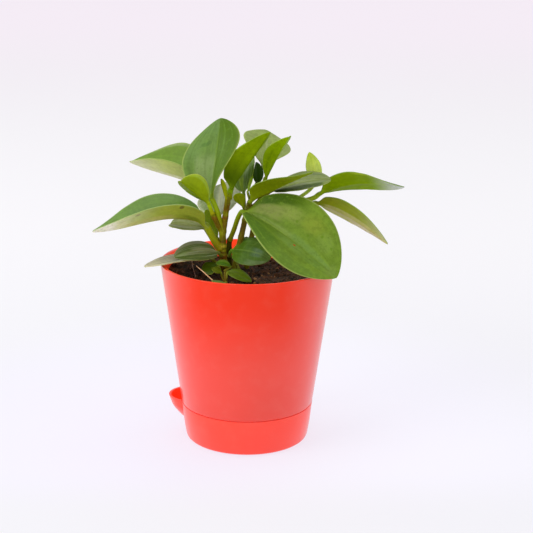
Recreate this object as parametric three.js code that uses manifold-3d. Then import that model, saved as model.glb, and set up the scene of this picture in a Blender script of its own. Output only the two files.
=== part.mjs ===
// Potted peperomia: a fleshy-leaved house plant in a round self-watering pot.
// Millimetres, +Z up. The origin is the centre of the saucer's flat underside,
// on the pot's axis, and -Y is the side that faces the viewer.
import * as THREE from 'three';
import Module from 'manifold-3d';
import { mergeVertices } from 'three/addons/utils/BufferGeometryUtils.js';

const wasm = await Module();
wasm.setup();

// ---- driving dimensions -------------------------------------------------
const GAP = 0.3;             // clearance between pieces that touch
const ROUND = 48;            // facets round the pot and the saucer

const RIM_R = 55.0;          // outer radius of the pot's rim
const RIM_Z = 116.0;         // height of the rim
const SHOULDER_R = 42.15;    // outer radius just above the seam
const SHOULDER_Z = 23.95;    // underside of the shoulder that sits on the saucer
const NECK_R = 39.2;         // the part that drops inside the saucer
const FLOOR_Z = 11.2;        // underside of the pot's floor
const WALL = 1.8;            // moulded wall of the pot
const WICK_R = 12.0;         // soil foot that reaches down to the water
const WICK_Z = 2.4;

const SAUCER_RIM_R = 42.2;   // saucer rim, flush with the pot
const SAUCER_RIM_Z = 23.64;
const SAUCER_WALL = 1.5;
const SPOUT_AZ = 167.5;        // filling spout, degrees round from +X
const SPOUT_D = 37.5;        // spout axis from the pot axis
const SPOUT_WALL = 1.4;

const SOIL_Z = 105.2;        // mean level of the potting soil

// ---- helpers ------------------------------------------------------------
function toSolid(geometry) {
  const g = geometry.clone();
  for (const name of ['normal', 'uv']) if (g.getAttribute(name)) g.deleteAttribute(name);
  const m = mergeVertices(g, 1e-4);
  return new wasm.Manifold(new wasm.Mesh({
    numProp: 3,
    vertProperties: new Float32Array(m.getAttribute('position').array),
    triVerts: new Uint32Array(m.getIndex().array),
  }));
}

function toGeometry(solid) {
  const mesh = solid.getMesh();
  const g = new THREE.BufferGeometry();
  const n = mesh.vertProperties.length / mesh.numProp;
  const pos = new Float32Array(n * 3);
  for (let i = 0; i < n; i++) for (let k = 0; k < 3; k++) pos[3 * i + k] = mesh.vertProperties[i * mesh.numProp + k];
  g.setAttribute('position', new THREE.BufferAttribute(pos, 3));
  g.setIndex(new THREE.BufferAttribute(new Uint32Array(mesh.triVerts), 1));
  g.computeVertexNormals();
  return g;
}

// the largest connected piece of a cut solid
function mainPiece(solid) {
  const parts = solid.decompose();
  parts.sort((a, b) => b.volume() - a.volume());
  return parts[0];
}

// a turned solid from a (radius, height) profile, on a vertical axis
function turned(profile, segments, x = 0, y = 0) {
  const g = new THREE.LatheGeometry(profile.map(([r, z]) => new THREE.Vector2(r, z)), segments);
  g.rotateX(Math.PI / 2);
  g.translate(x, y, 0);
  return g;
}

function drum(r, z0, z1, x = 0, y = 0, segments = 16) {
  return turned([[0, z0], [r, z0], [r, z1], [0, z1]], segments, x, y);
}

function block(sx, sy, sz, x, y, z, turn = 0) {
  const g = new THREE.BoxGeometry(sx, sy, sz);
  g.translate(x, y, z);
  g.rotateZ(turn);
  return g;
}

// a closed skin over rings of equal size, with a centre point at each end
function skin(rings, startPoint, endPoint) {
  const k = rings[0].length;
  const pos = [];
  for (const ring of rings) for (const p of ring) pos.push(p.x, p.y, p.z);
  const a = pos.length / 3;
  pos.push(startPoint.x, startPoint.y, startPoint.z);
  pos.push(endPoint.x, endPoint.y, endPoint.z);
  const idx = [];
  for (let i = 0; i + 1 < rings.length; i++) {
    for (let j = 0; j < k; j++) {
      const j2 = (j + 1) % k;
      const p = i * k + j, q = i * k + j2, r = (i + 1) * k + j2, s = (i + 1) * k + j;
      idx.push(p, q, r, p, r, s);
    }
  }
  const last = (rings.length - 1) * k;
  for (let j = 0; j < k; j++) {
    const j2 = (j + 1) % k;
    idx.push(a, j2, j);
    idx.push(a + 1, last + j, last + j2);
  }
  const g = new THREE.BufferGeometry();
  g.setAttribute('position', new THREE.BufferAttribute(new Float32Array(pos), 3));
  g.setIndex(idx);
  return g;
}

const V = (a) => new THREE.Vector3(a[0], a[1], a[2]);

// a tapered stem through the given points, with a radius at each point
function stem(points, radii, steps, sides, grow = 0, lengthen = 0) {
  const curve = new THREE.CatmullRomCurve3(points.map(V), false, 'centripetal');
  const rings = [];
  let side = null;
  const ends = [];
  for (let i = 0; i <= steps; i++) {
    const u = i / steps;
    const p = curve.getPoint(u);
    const t = curve.getTangent(u).normalize();
    if (side === null) {
      side = new THREE.Vector3(1, 0, 0);
    }
    side.addScaledVector(t, -side.dot(t)).normalize();
    const up = new THREE.Vector3().crossVectors(t, side);
    const f = u * (radii.length - 1);
    const i0 = Math.min(Math.floor(f), radii.length - 2);
    const r = radii[i0] + (radii[i0 + 1] - radii[i0]) * (f - i0) + grow;
    if (i === 0) p.addScaledVector(t, -lengthen);
    if (i === steps) p.addScaledVector(t, lengthen);
    const ring = [];
    for (let j = 0; j < sides; j++) {
      const a = (2 * Math.PI * j) / sides;
      ring.push(p.clone().addScaledVector(side, r * Math.cos(a)).addScaledVector(up, r * Math.sin(a)));
    }
    rings.push(ring);
    if (i === 0 || i === steps) ends.push(p.clone());
  }
  return skin(rings, ends[0], ends[1]);
}

// the running frame of a leaf blade: midrib points with tangent, side and upper-face normal
const BLADE_STEPS = 24;
function bladeFrames(leaf) {
  const rad = Math.PI / 180;
  const az = leaf.az * rad, el = leaf.el * rad, roll = leaf.roll * rad;
  let T = new THREE.Vector3(Math.cos(el) * Math.cos(az), Math.cos(el) * Math.sin(az), Math.sin(el));
  const sh = new THREE.Vector3(-Math.sin(az), Math.cos(az), 0);
  const nh = new THREE.Vector3().crossVectors(T, sh);
  let S = sh.clone().multiplyScalar(Math.cos(roll)).addScaledVector(nh, Math.sin(roll));
  let N = sh.clone().multiplyScalar(-Math.sin(roll)).addScaledVector(nh, Math.cos(roll));
  const M = [V(leaf.base)], TT = [T], SS = [S], NN = [N];
  const dt = 1 / BLADE_STEPS;
  for (let i = 0; i < BLADE_STEPS; i++) {
    const t = (i + 0.5) * dt;
    const w = new THREE.Vector3()
      .addScaledVector(S, leaf.bend[0] + leaf.bend[1] * (2 * t - 1))
      .addScaledVector(N, leaf.sweep)
      .addScaledVector(T, leaf.twist)
      .multiplyScalar(dt);
    const a = w.length();
    const k = w.clone().normalize();
    const turn = (v) => v.clone().applyAxisAngle(k, a);
    const T2 = turn(T), S2 = turn(S), N2 = turn(N);
    M.push(M[M.length - 1].clone().addScaledVector(T, 0.5 * leaf.length * dt).addScaledVector(T2, 0.5 * leaf.length * dt));
    T = T2; S = S2; N = N2;
    TT.push(T); SS.push(S); NN.push(N);
  }
  return { M, T: TT, S: SS, N: NN };
}

function sample(list, t) {
  const f = Math.min(Math.max(t, 0), 1) * BLADE_STEPS;
  const i = Math.min(Math.floor(f), BLADE_STEPS - 1);
  return list[i].clone().lerp(list[i + 1], f - i);
}

function outline(t, p, q) {
  const m = p / (p + q);
  return (Math.pow(t, p) * Math.pow(1 - t, q)) / (Math.pow(m, p) * Math.pow(1 - m, q));
}

// one half of a folded, cupped blade section: how far out and how far up at u = 0..1
function halfSection(u, fold, cup) {
  const c = Math.abs(cup) < 1e-4 ? 1e-4 : cup;
  return [(Math.sin(fold) - Math.sin(fold - c * u)) / c, (Math.cos(fold - c * u) - Math.cos(fold)) / c];
}

// one leaf with its petiole, as a single closed body
function leafGeometry(leaf, stations, across) {
  const fr = bladeFrames(leaf);
  const us = [];
  for (let j = 0; j <= across; j++) us.push(-1 + (2 * j) / across);
  const k = 2 * us.length;
  const r0 = leaf.petioleR;

  const section = (t) => {
    const M = sample(fr.M, t), S = sample(fr.S, t).normalize(), N = sample(fr.N, t).normalize();
    const w = (leaf.width / 2) * outline(t, leaf.outline[0], leaf.outline[1]);
    const fold = leaf.fold[0] + (leaf.fold[1] - leaf.fold[0]) * t;
    const h = leaf.thick * (1 - 0.45 * t);
    const blend = THREE.MathUtils.smoothstep(t, 0, 0.12);
    const ring = [];
    for (let j = 0; j < k; j++) {
      const top = j < us.length;
      const u = top ? us[us.length - 1 - j] : us[j - us.length];
      const [x, z] = halfSection(Math.abs(u), fold, leaf.cup);
      const s = Math.sign(u);
      const ang = fold - leaf.cup * Math.abs(u);
      const nrm = S.clone().multiplyScalar(-s * Math.sin(ang)).addScaledVector(N, Math.cos(ang));
      const hh = 0.5 * h * (0.35 + 0.65 * (1 - u * u));
      const blade = M.clone().addScaledVector(S, s * x * w).addScaledVector(N, z * w).addScaledVector(nrm, top ? hh : -hh);
      const a = ((top ? 90 - 82 * u : -90 + 82 * u) * Math.PI) / 180;
      const rr = r0 * (1 - 0.35 * Math.min(t / 0.12, 1));
      const round = M.clone().addScaledVector(S, rr * Math.cos(a)).addScaledVector(N, rr * Math.sin(a));
      ring.push(round.lerp(blade, blend));
    }
    return ring;
  };

  // the petiole runs from inside the stem to the foot of the blade
  const path = new THREE.CatmullRomCurve3([...leaf.petiole.map(V), V(leaf.base)], false, 'centripetal');
  const length = path.getLength();
  const n = Math.max(2, Math.round(length / 7));
  const rings = [];
  let side = fr.S[0].clone(), nor = fr.N[0].clone();
  let start = null;
  for (let i = n; i >= 0; i--) {
    const p = path.getPoint(i / n);
    let t = path.getTangent(i / n).normalize();
    if (i === n) t = fr.T[0].clone();
    side.addScaledVector(t, -side.dot(t)).normalize();
    nor = new THREE.Vector3().crossVectors(t, side);
    if (i === n) continue;
    const ring = [];
    for (let j = 0; j < k; j++) {
      const top = j < us.length;
      const u = top ? us[us.length - 1 - j] : us[j - us.length];
      const a = ((top ? 90 - 82 * u : -90 + 82 * u) * Math.PI) / 180;
      ring.push(p.clone().addScaledVector(side, r0 * Math.cos(a)).addScaledVector(nor, r0 * Math.sin(a)));
    }
    rings.unshift(ring);
    start = p;
  }
  for (const t of stations) rings.push(section(t));
  return skin(rings, start, sample(fr.M, 1));
}

const BIG = [0, 0.055, 0.13, 0.27, 0.43, 0.6, 0.77, 0.9, 0.975];
const SMALL = [0, 0.07, 0.16, 0.38, 0.62, 0.84, 0.965];

// ---- plant data -----------------------------------------------------------
// Leaves: base of blade, direction (degrees), bend and twist (radians over the
// whole length), section and outline. The petiole points lead from the stem's
// centre line to the blade.
const LEAVES = [
  { name: 'leaf_front_right_big', base: [-3.81, 2.0, 146.98], az: -35.12, el: -10.48, roll: 20.73, length: 77.15, width: 55.39,
    bend: [0.276, -0.472], sweep: -0.179, twist: 0.163, fold: [0.84, 0.184], cup: 0.164, outline: [0.755, 0.792],
    thick: 1.7, petioleR: 1.5, petiole: [[-11.55, 13.9, 125.51], [-8.87, 10.8, 133.19], [-6.71, 7.2, 140.58], [-4.94, 4.0, 145.16]] },
  { name: 'leaf_top_upright', base: [-23.03, 9.5, 153.8], az: 81.02, el: 68.34, roll: -33.77, length: 53.2, width: 44.52,
    bend: [0.109, -0.382], sweep: 0.096, twist: 0.145, fold: [0.82, -0.024], cup: 0.123, outline: [0.65, 0.689],
    thick: 1.6, petioleR: 1.65, petiole: [[-16.36, 12.0, 131.86], [-17.61, 11.3, 137.9], [-19.1, 10.3, 143.97], [-20.97, 9.7, 149.26]] },
  { name: 'leaf_young_left', base: [-24.82, 6.0, 151.37], az: 213.47, el: 35.97, roll: 36.05, length: 24.86, width: 21.86,
    bend: [-0.108, 0.281], sweep: -0.078, twist: -0.003, fold: [0.525, 0.651], cup: 0.092, outline: [0.949, 0.565],
    thick: 1.2, petioleR: 1.3, petiole: [[-22.22, 8.9, 143.63], [-23.55, 7.4, 147.52]], young: true },
  { name: 'leaf_long_left', base: [-25.86, 8.0, 136.05], az: 205.58, el: 35.99, roll: -11.08, length: 75.61, width: 43.09,
    bend: [0.584, -1.852], sweep: -0.066, twist: 0.454, fold: [0.959, 0.35], cup: 0.189, outline: [0.731, 0.696],
    thick: 1.6, petioleR: 2.2, petiole: [[-17.09, 10.8, 120.37], [-20.63, 10.2, 125.43], [-23.38, 9.2, 130.56]] },
  { name: 'leaf_upper_left', base: [-29.18, 33.5, 154.99], az: 152.28, el: 19.26, roll: -11.73, length: 58.61, width: 48.35,
    bend: [0.109, -0.632], sweep: -0.064, twist: 0.076, fold: [1.091, 0.503], cup: 0.053, outline: [0.554, 0.756],
    thick: 1.5, petioleR: 1.3, petiole: [[-21.1, 9.6, 140.88], [-24.43, 16.0, 146.49], [-26.92, 23.0, 152.06]] },
  { name: 'leaf_back_left', base: [-27.59, 22.0, 130.95], az: 162.66, el: 4.22, roll: -14.03, length: 23.81, width: 21.12,
    bend: [0.029, -0.068], sweep: 0.061, twist: 0.104, fold: [0.293, 0.395], cup: 0.277, outline: [0.833, 0.42],
    thick: 1.2, petioleR: 1.15, petiole: [[-16.46, 11.2, 117.63], [-20.4, 16.0, 120.3], [-24.33, 20.0, 126.18]] },
  { name: 'leaf_low_left', base: [-18.5, 3.0, 119.81], az: 212.48, el: 19.96, roll: -31.58, length: 31.12, width: 20.92,
    bend: [0.637, -0.048], sweep: 0.112, twist: 0.351, fold: [0.336, 0.092], cup: 0.35, outline: [0.668, 0.638],
    thick: 1.4, petioleR: 1.1, petiole: [[-16.44, 10.3, 114.91], [-17.27, 7.0, 117.11]] },
  { name: 'leaf_over_rim_left', base: [-22.74, 8.0, 114.51], az: 209.49, el: 11.13, roll: 0.28, length: 47.59, width: 24.77,
    bend: [0.338, 0.003], sweep: 0.002, twist: 0.163, fold: [0.394, 0.12], cup: 0.325, outline: [0.839, 0.645],
    thick: 1.4, petioleR: 1.1, petiole: [[-15.92, 9.9, 109.08], [-19.1, 9.4, 110.65]] },
  { name: 'leaf_top_centre', base: [-11.22, 17.0, 157.38], az: -23.33, el: 55.2, roll: -21.36, length: 48.42, width: 27.63,
    bend: [0.017, -0.065], sweep: -0.095, twist: 0.12, fold: [0.878, 0.493], cup: 0.307, outline: [0.619, 0.713],
    thick: 1.4, petioleR: 1.95, petiole: [[-12.37, 10.0, 154.08], [-11.86, 13.4, 155.19]], young: true },
  { name: 'leaf_top_right', base: [10.64, 14.0, 165.25], az: -40.23, el: 59.14, roll: -12.99, length: 36.63, width: 18.44,
    bend: [0.198, 0.057], sweep: -0.137, twist: 0.205, fold: [0.896, 0.428], cup: 0.265, outline: [0.985, 0.614],
    thick: 1.2, petioleR: 1.35, petiole: [[1.78, 13.0, 152.86], [5.78, 11.2, 156.7], [9.4, 12.6, 161.04]], young: true },
  { name: 'leaf_back_round', base: [9.0, 26.0, 170.52], az: 80.11, el: 19.76, roll: 14.91, length: 47.75, width: 32.75,
    bend: [0.011, -0.143], sweep: 0.206, twist: 0.15, fold: [0.581, 0.036], cup: 0.294, outline: [0.987, 0.626],
    thick: 1.4, petioleR: 1.15, petiole: [[0.42, 12.8, 148.37], [1.04, 20.5, 150.19], [5.25, 25.0, 159.66]] },
  { name: 'leaf_back_small', base: [5.84, 17.5, 161.26], az: 106.7, el: 77.23, roll: 30.69, length: 13.97, width: 12.35,
    bend: [0.016, 0.085], sweep: 0.038, twist: 0.354, fold: [0.278, 0.357], cup: 0.291, outline: [0.761, 0.65],
    thick: 1.0, petioleR: 0.8, petiole: [[1.65, 12.95, 152.41], [2.66, 17.0, 153.72]] },
  { name: 'leaf_right_narrow', base: [1.02, 6.0, 152.5], az: -18.96, el: 31.64, roll: -31.66, length: 47.36, width: 24.23,
    bend: [0.111, -0.153], sweep: -0.06, twist: 0.425, fold: [0.64, 0.233], cup: 0.293, outline: [0.513, 0.636],
    thick: 1.4, petioleR: 1.5, petiole: [[0.66, 12.6, 149.06], [0.78, 9.2, 151.26]], young: true },
  { name: 'leaf_right_back', base: [13.77, 16.0, 156.92], az: -7.89, el: 20.46, roll: 19.87, length: 39.66, width: 25.27,
    bend: [0.363, 0.211], sweep: -0.011, twist: -0.113, fold: [0.337, 0.21], cup: 0.314, outline: [0.813, 0.613],
    thick: 1.4, petioleR: 1.35, petiole: [[-0.32, 12.5, 145.19], [4.84, 14.0, 148.96], [9.37, 15.8, 153.77]] },
  { name: 'leaf_young_right', base: [42.55, 30.0, 158.52], az: -51.47, el: 80.56, roll: -3.65, length: 21.6, width: 13.73,
    bend: [-0.704, 0.189], sweep: -0.076, twist: 0.273, fold: [0.156, 0.261], cup: 0.349, outline: [0.709, 0.736],
    thick: 1.1, petioleR: 1.15, petiole: [[25.64, 15.6, 148.86], [30.13, 20.0, 150.63], [35.06, 25.0, 152.68], [39.35, 29.0, 155.11]], young: true },
  { name: 'leaf_far_right_upper', base: [44.77, 21.0, 153.96], az: 1.96, el: 27.88, roll: -47.44, length: 56.54, width: 29.17,
    bend: [0.751, -0.269], sweep: 0.069, twist: 0.324, fold: [0.588, -0.077], cup: 0.363, outline: [0.761, 0.778],
    thick: 1.4, petioleR: 1.55, petiole: [[34.73, 15.5, 151.09], [39.28, 18.4, 151.37], [42.87, 20.6, 152.4]] },
  { name: 'leaf_far_right_lower', base: [42.74, 23.0, 148.27], az: -16.13, el: -9.27, roll: -46.67, length: 55.72, width: 28.59,
    bend: [0.476, -0.409], sweep: 0.027, twist: 0.248, fold: [0.357, 0.281], cup: 0.328, outline: [0.681, 0.662],
    thick: 1.4, petioleR: 1.3, petiole: [[30.5, 15.6, 149.93], [34.89, 18.2, 147.29], [38.52, 21.0, 146.67]] },
  { name: 'leaf_low_front', base: [-10.53, 10.0, 119.64], az: -26.91, el: 11.13, roll: 32.49, length: 27.23, width: 24.79,
    bend: [0.648, 0.022], sweep: -0.152, twist: -0.033, fold: [0.234, 0.252], cup: 0.329, outline: [0.614, 0.626],
    thick: 1.4, petioleR: 1.1, petiole: [[-11.93, 14.6, 114.77], [-11.26, 12.2, 117.4]] },
  { name: 'sprout_leaf_top', base: [-10.47, -7.6, 113.66], az: 195.73, el: 35.2, roll: -24.25, length: 9.97, width: 7.42,
    bend: [0.725, -0.04], sweep: -0.042, twist: 0.09, fold: [0.48, 0.227], cup: 0.269, outline: [0.789, 0.663],
    thick: 0.9, petioleR: 0.75, petiole: [[-14.32, -11.9, 112.25], [-12.0, -9.2, 113.12]] },
  { name: 'sprout_leaf_right', base: [-12.9, -11.7, 111.88], az: -23.91, el: -4.98, roll: 23.05, length: 17.1, width: 10.11,
    bend: [0.437, -0.114], sweep: 0.027, twist: -0.193, fold: [0.357, 0.155], cup: 0.324, outline: [0.691, 0.686],
    thick: 1.0, petioleR: 0.75, petiole: [[-13.42, -13.2, 106.82], [-12.81, -12.9, 109.71]] },
  { name: 'sprout_leaf_left', base: [-16.32, -11.0, 110.7], az: 171.58, el: 30.05, roll: -26.75, length: 7.1, width: 6.09,
    bend: [0.262, 0.076], sweep: -0.005, twist: 0.173, fold: [0.267, 0.295], cup: 0.31, outline: [0.75, 0.671],
    thick: 0.8, petioleR: 0.65, petiole: [[-16.09, -10.3, 108.56], [-16.26, -10.9, 109.63]] },
  { name: 'sprout_leaf_back', base: [-18.64, -5.0, 114.18], az: 202.58, el: -11.34, roll: -34.12, length: 10.84, width: 9.96,
    bend: [0.228, -0.104], sweep: -0.099, twist: 0.01, fold: [0.292, 0.075], cup: 0.366, outline: [0.837, 0.637],
    thick: 0.9, petioleR: 0.7, petiole: [[-16.72, -10.0, 110.54], [-17.46, -7.5, 112.29]] },
  { name: 'sprout_leaf_front', base: [-13.38, -19.0, 106.44], az: 190.02, el: 9.16, roll: -4.32, length: 9.28, width: 6.79,
    bend: [-0.108, -0.023], sweep: -0.022, twist: 0.045, fold: [0.266, 0.091], cup: 0.369, outline: [0.855, 0.614],
    thick: 0.8, petioleR: 0.65, petiole: [[-13.29, -13.3, 105.36], [-13.3, -16.5, 106.16]] },
  { name: 'leaf_centre_back', base: [-2.79, 17.5, 154.74], az: 98.38, el: 53.37, roll: -33.14, length: 33.16, width: 18.91,
    bend: [0.658, 0.211], sweep: -0.138, twist: -0.337, fold: [0.274, 0.37], cup: 0.289, outline: [0.829, 0.669],
    thick: 1.4, petioleR: 1.1, petiole: [[-1.44, 12.5, 141.61], [-2.37, 16.0, 147.29]] },
  { name: 'leaf_young_centre', base: [-3.09, 6.0, 148.94], az: 232.07, el: 59.28, roll: 32.28, length: 11.57, width: 7.76,
    bend: [0.065, 0.067], sweep: -0.123, twist: 0.137, fold: [0.632, 0.364], cup: 0.261, outline: [0.862, 0.624],
    thick: 1.0, petioleR: 0.8, petiole: [[-1.01, 12.4, 143.26], [-2.27, 9.0, 146.19]], young: true },
  { name: 'leaf_bud_left', base: [-13.51, 7.0, 154.42], az: 209.01, el: 64.73, roll: 25.29, length: 13.19, width: 4.65,
    bend: [-0.32, 0.023], sweep: 0.079, twist: 0.049, fold: [0.864, 0.749], cup: 0.353, outline: [0.844, 0.626],
    thick: 1.1, petioleR: 1.0, petiole: [[-13.82, 11.0, 145.45], [-13.97, 8.4, 149.93]], young: true },
  { name: 'leaf_back_wide', base: [-18.33, 24.0, 138.77], az: 93.21, el: 18.75, roll: -12.78, length: 44.58, width: 30.4,
    bend: [0.185, 0.102], sweep: -0.097, twist: -0.227, fold: [0.111, 0.319], cup: 0.347, outline: [0.743, 0.619],
    thick: 1.4, petioleR: 1.3, petiole: [[-16.42, 12.0, 128.59], [-17.26, 19.0, 133.4]] },
  { name: 'leaf_small_shaded', base: [-19.4, 17.2, 125.61], az: 151.91, el: 58.99, roll: -0.79, length: 20.02, width: 13.41,
    bend: [-0.195, 0.024], sweep: -0.051, twist: 0.069, fold: [0.233, 0.13], cup: 0.367, outline: [0.84, 0.616],
    thick: 1.1, petioleR: 1.0, petiole: [[-15.84, 12.0, 121.05], [-17.2, 16.0, 122.96]] },
  { name: 'leaf_bud_right', base: [-0.39, 12.0, 157.25], az: 59.74, el: 54.4, roll: 15.09, length: 12.21, width: 2.72,
    bend: [0.011, -0.035], sweep: 0.048, twist: 0.062, fold: [0.991, 0.827], cup: 0.296, outline: [0.841, 0.634],
    thick: 1.0, petioleR: 0.8, petiole: [[1.35, 12.9, 151.26], [0.45, 11.4, 154.17]], young: true },
  { name: 'leaf_bud_low', base: [-2.83, 18.5, 120.41], az: 190.22, el: 89.0, roll: -38.89, length: 7.01, width: 6.27,
    bend: [-0.696, 0.178], sweep: -0.152, twist: -0.421, fold: [0.745, 0.18], cup: 0.402, outline: [0.873, 0.572],
    thick: 0.9, petioleR: 0.7, petiole: [[-5.98, 12.2, 118.75], [-4.28, 16.8, 118.86]], young: true },
];

// Stems: centre-line points and radii, from inside the soil upwards.
const STEMS = {
  main: { steps: 10, radii: [2.7, 2.6, 2.45, 2.35, 2.35, 2.2, 2.0],
    points: [[-14.18, 9.0, 99.73], [-14.64, 9.5, 105.56], [-15.29, 10.0, 112.03], [-15.81, 10.5, 117.17], [-16.08, 11.0, 122.95], [-16.09, 11.5, 128.07], [-16.23, 12.0, 132.52]] },
  mainLeft: { steps: 6, radii: [1.7, 1.75, 1.7, 1.55, 1.4],
    points: [[-16.36, 12.0, 131.21], [-18.36, 11.0, 134.71], [-20.11, 10.0, 138.84], [-21.73, 9.3, 142.24], [-22.96, 8.6, 145.31]] },
  mainRight: { steps: 6, radii: [1.9, 1.9, 1.85, 1.95, 1.8, 1.6],
    points: [[-15.85, 12.0, 130.56], [-14.97, 12.0, 135.79], [-14.39, 11.5, 141.12], [-13.7, 11.0, 146.42], [-12.94, 10.5, 151.06], [-12.31, 10.0, 154.4]] },
  rear: { steps: 8, radii: [2.0, 1.95, 1.85, 1.75, 1.7, 1.5],
    points: [[-11.1, 18.0, 95.12], [-11.44, 17.6, 103.29], [-11.83, 17.0, 110.13], [-12.27, 16.0, 117.04], [-11.95, 14.8, 123.3], [-11.68, 13.8, 126.85]] },
  centre: { steps: 12, radii: [2.0, 2.0, 1.95, 1.9, 1.85, 1.8, 1.8, 1.75, 1.6, 1.3],
    points: [[-8.43, 10.0, 94.81], [-8.45, 10.0, 102.8], [-7.97, 11.0, 109.82], [-6.67, 12.0, 117.48], [-4.8, 12.6, 125.89], [-3.36, 12.5, 132.47], [-1.94, 12.5, 139.01], [-0.58, 12.5, 144.87], [0.79, 12.7, 149.36], [1.9, 13.0, 153.5]] },
  right: { steps: 16, radii: [1.9, 1.85, 1.8, 1.75, 1.7, 1.6, 1.5, 1.45, 1.4, 1.25],
    points: [[-3.02, 16.0, 95.75], [-1.14, 16.0, 105.14], [0.73, 16.0, 115.79], [2.14, 16.0, 125.72], [3.44, 16.0, 132.3], [6.32, 16.0, 138.87], [12.62, 15.8, 144.18], [22.1, 15.7, 147.84], [30.31, 15.6, 150.19], [35.36, 15.5, 151.22]] },
  sproutRight: { steps: 4, radii: [1.0, 0.95, 0.85, 0.75],
    points: [[-12.54, -13.5, 99.78], [-13.29, -13.5, 104.96], [-13.92, -13.0, 108.7], [-14.32, -12.0, 111.96]] },
  sproutLeft: { steps: 4, radii: [0.9, 0.85, 0.8, 0.7],
    points: [[-12.58, -11.0, 99.04], [-13.77, -11.0, 104.23], [-15.65, -10.5, 107.64], [-16.72, -10.0, 111.06]] },
  stalk: { steps: 4, radii: [0.8, 0.75, 0.7, 0.55],
    points: [[-4.59, 6.0, 101.32], [-5.44, 6.0, 108.25], [-6.08, 6.0, 110.55], [-7.1, 6.0, 112.19]] },
};

// ---- materials --------------------------------------------------------------
const mat = (color, roughness) => new THREE.MeshStandardMaterial({ color, roughness, metalness: 0 });
const red = mat('#f2452c', 0.35);
const earth = mat('#2e2114', 0.95);
const green = mat('#5d7f2f', 0.45);
const pale = mat('#8f9d4a', 0.45);
const bark = mat('#6d6411', 0.6);
const straw = mat('#b9925c', 0.8);

const model = new THREE.Group();
function add(name, geometry, material) {
  const mesh = new THREE.Mesh(geometry, material);
  mesh.name = name;
  model.add(mesh);
}

// ---- pot ----------------------------------------------------------------------
const potProfile = [
  [0, WICK_Z], [WICK_R - 0.8, WICK_Z], [WICK_R, FLOOR_Z], [36.4, FLOOR_Z], [37.3, FLOOR_Z + 0.9],
  [NECK_R, SHOULDER_Z], [SHOULDER_R, SHOULDER_Z], [RIM_R - 0.05, RIM_Z - 0.4], [RIM_R - 0.5, RIM_Z], [RIM_R - WALL, RIM_Z],
  [SHOULDER_R - WALL + 0.25, SHOULDER_Z + 2.2], [NECK_R - WALL, SHOULDER_Z + 0.6], [37.3 - WALL - 0.1, FLOOR_Z + WALL + 0.6],
  [34.6, FLOOR_Z + WALL], [WICK_R + 0.4, FLOOR_Z + WALL], [WICK_R - WALL + 0.1, FLOOR_Z + WALL - 0.6],
  [WICK_R - WALL - 0.7, WICK_Z + WALL], [0, WICK_Z + WALL],
];
let pot = toSolid(turned(potProfile, ROUND));
for (let i = 0; i < 8; i++) {
  const a = ((i + 0.5) * Math.PI) / 4;
  pot = pot.subtract(toSolid(drum(2, FLOOR_Z - 2, FLOOR_Z + 5, 25 * Math.cos(a), 25 * Math.sin(a), 8)));
}
for (let i = 0; i < 4; i++) {
  pot = pot.subtract(toSolid(block(8, 2.4, 5, WICK_R, 0, WICK_Z + 5, (i * Math.PI) / 2)));
}
add('planter_pot', toGeometry(pot), red);

// ---- saucer with its filling spout ----------------------------------------------
const sx = SPOUT_D * Math.cos((SPOUT_AZ * Math.PI) / 180);
const sy = SPOUT_D * Math.sin((SPOUT_AZ * Math.PI) / 180);
const saucerOuter = [[0, 0], [37.1, 0], [38.9, 0.8], [39.4, 2.4], [40.5, 8.6], [SAUCER_RIM_R, SAUCER_RIM_Z], [0, SAUCER_RIM_Z]];
const saucerInner = [[0, 1.7], [36.8, 1.7], [37.7, 2.6], [40.5 - SAUCER_WALL, 8.8], [SAUCER_RIM_R - SAUCER_WALL - 0.02, SAUCER_RIM_Z], [SAUCER_RIM_R - SAUCER_WALL + 0.1, SAUCER_RIM_Z + 1], [0, SAUCER_RIM_Z + 1]];
const spoutOuter = [[0, 6.2], [3.9, 7.6], [6.0, 9.4], [8.0, 11.6], [10.8, 15.1], [12.2, 17.4], [13.1, 19.9], [14.3, SAUCER_RIM_Z], [0, SAUCER_RIM_Z]];
const spoutInner = [[0, 8.0], [3.1, 9.1], [4.9, 10.7], [6.8, 12.8], [9.4, 16.0], [10.8, 18.2], [11.7, 20.4], [14.3 - SPOUT_WALL, SAUCER_RIM_Z], [14.3 - SPOUT_WALL + 0.3, SAUCER_RIM_Z + 1], [0, SAUCER_RIM_Z + 1]];
const saucer = toSolid(turned(saucerOuter, ROUND))
  .add(toSolid(turned(spoutOuter, 28, sx, sy)))
  .subtract(toSolid(turned(saucerInner, ROUND)))
  .subtract(toSolid(turned(spoutInner, 28, sx, sy)));
add('reservoir_saucer', toGeometry(mainPiece(saucer)), red);

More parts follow.
